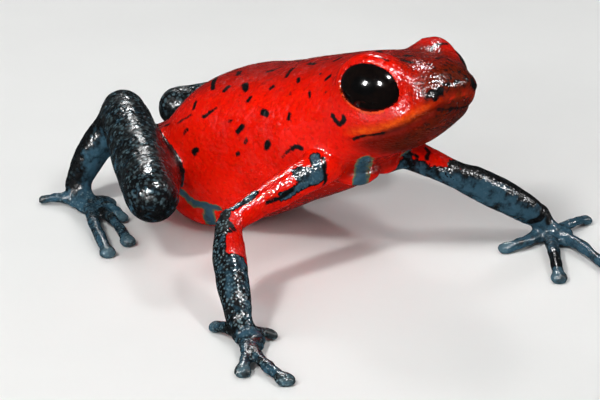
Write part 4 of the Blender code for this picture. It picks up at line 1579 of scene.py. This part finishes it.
# Lights from the left, the right and above, and glints that only show as highlights: name,
# azimuth, elevation, distance, width, height, power, and whether it is a glint
LIGHTS = (
    ("left_light", -86.0, 49.0, 0.40, 0.040, 0.075, 0.80, False),
    ("right_light", -8.0, 52.0, 0.40, 0.040, 0.075, 0.36, False),
    ("low_light", -78.0, 26.0, 0.50, 0.25, 0.25, 0.85, False),
    ("top_light", 20.0, 75.0, 0.60, 0.50, 0.50, 0.30, False),
    ("left_glint", -102.0, 27.5, 0.40, 0.040, 0.080, 3.80, True),
    ("right_glint", -61.5, 39.5, 0.40, 0.040, 0.080, 4.20, True),
    ("high_glint", 6.0, 64.0, 0.40, 0.050, 0.040, 5.00, True),
    ("far_glint", 45.0, 22.0, 0.40, 0.040, 0.060, 2.00, True),
    ("back_glint", 141.0, 44.0, 0.40, 0.060, 0.060, 1.20, True),
)
# What the lights are aimed at, and how bright the room is, seen straight and in reflections
LIGHT_TARGET = Vector((0.0, 0.0, 0.004))
ROOM = 0.12
MIRRORED_ROOM = 0.04


def soft_light(scene, name, azimuth, elevation, distance, wide, tall, power, glint):
    """An oblong light aimed at the frog: either its even light or its glint is seen."""
    data = bpy.data.lights.new(name, "AREA")
    data.shape = "RECTANGLE"
    data.size = wide
    data.size_y = tall
    data.energy = power
    light = bpy.data.objects.new(name, data)
    place = LIGHT_TARGET + direction(azimuth, elevation) * distance
    light.matrix_world = facing(place, LIGHT_TARGET)
    light.visible_glossy = glint
    light.visible_diffuse = not glint
    scene.collection.objects.link(light)


def light_up(scene):
    """The lights and a pale room round all, which is dimmer where the wet skin mirrors it, so
    that its highlights come from the lights alone."""
    for light in LIGHTS:
        soft_light(scene, *light)
    world = bpy.data.worlds.new("room")
    world.use_nodes = True
    room = world.node_tree.nodes["Background"]
    draw = Tree(world.node_tree)
    mirrored = draw.add("ShaderNodeLightPath").outputs["Is Glossy Ray"]
    draw.fill(room, Color=(0.9, 0.95, 1.0), Strength=draw.blend(mirrored, ROOM, MIRRORED_ROOM))
    scene.world = world
    scene.view_settings.view_transform = "Standard"


class DARTFROG_OT_skin(bpy.types.Operator):
    """Melt the body, limbs and digits into one skin and colour it."""

    bl_idname = "dartfrog.add_skin"
    bl_label = "Skin"

    def execute(self, context):
        look = context.scene.dart_frog_skin
        points, quads = melted(flesh_surfaces(), look.voxel)
        points, quads = largest_shell(points, quads)
        points, places, rim = carved(points, quads, look.granules)
        skin = new_piece("skin", points, quads.tolist(), skin_fields(points, places, rim))
        skin.data.materials.append(skin_finish(look))
        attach(skin, "root")
        flesh = [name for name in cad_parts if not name.startswith("eye")]
        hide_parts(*flesh)
        return {"FINISHED"}


class DARTFROG_OT_eyes(bpy.types.Operator):
    """Set a glossy dark eye in each brow."""

    bl_idname = "dartfrog.add_eyes"
    bl_label = "Eyes"

    def execute(self, context):
        look = context.scene.dart_frog_eyes
        finish = eye_finish(look)
        for side, node in ((-1, "eye_right"), (1, "eye_left")):
            centre, axes = eye_place(side)
            points, faces = ellipsoid(centre, EYE_RADII, axes, look.rings, look.rings * 3 // 2)
            local = (points - centre) @ axes.T / EYE_RADII
            off = np.hypot(local[:, 0], local[:, 1] * PUPIL_SQUASH)
            pupil = np.where(local[:, 2] > 0.0, off, 1.0)
            if side < 0:
                faces = [face[::-1] for face in faces]
            eye = new_piece(node + "_ball", points, faces, {"pupil": pupil})
            eye.data.materials.append(finish)
            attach(eye, "root")
            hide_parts(node)
        return {"FINISHED"}


class DARTFROG_PT_panel(bpy.types.Panel):
    """The buttons and settings of the frog."""

    bl_idname = "DARTFROG_PT_panel"
    bl_label = "Dart Frog"
    bl_space_type = "VIEW_3D"
    bl_region_type = "UI"
    bl_category = "Dart Frog"

    def draw(self, context):
        scene = context.scene
        for group, button in (
            (scene.dart_frog_stage, DARTFROG_OT_stage),
            (scene.dart_frog_skin, DARTFROG_OT_skin),
            (scene.dart_frog_eyes, DARTFROG_OT_eyes),
        ):
            box = self.layout.box()
            box.operator(button.bl_idname)
            for name in group.__annotations__:
                box.prop(group, name)


CLASSES = (
    DartFrogSkin,
    DartFrogEyes,
    DartFrogStage,
    DARTFROG_OT_stage,
    DARTFROG_OT_skin,
    DARTFROG_OT_eyes,
    DARTFROG_PT_panel,
)


def register():
    for cls in CLASSES:
        bpy.utils.register_class(cls)
    bpy.types.Scene.dart_frog_skin = PointerProperty(type=DartFrogSkin)
    bpy.types.Scene.dart_frog_eyes = PointerProperty(type=DartFrogEyes)
    bpy.types.Scene.dart_frog_stage = PointerProperty(type=DartFrogStage)


def unregister():
    del bpy.types.Scene.dart_frog_stage
    del bpy.types.Scene.dart_frog_eyes
    del bpy.types.Scene.dart_frog_skin
    for cls in reversed(CLASSES):
        bpy.utils.unregister_class(cls)


def main():
    register()
    bpy.ops.dartfrog.add_stage()
    bpy.ops.dartfrog.add_skin()
    bpy.ops.dartfrog.add_eyes()


if __name__ == "__main__":
    main()
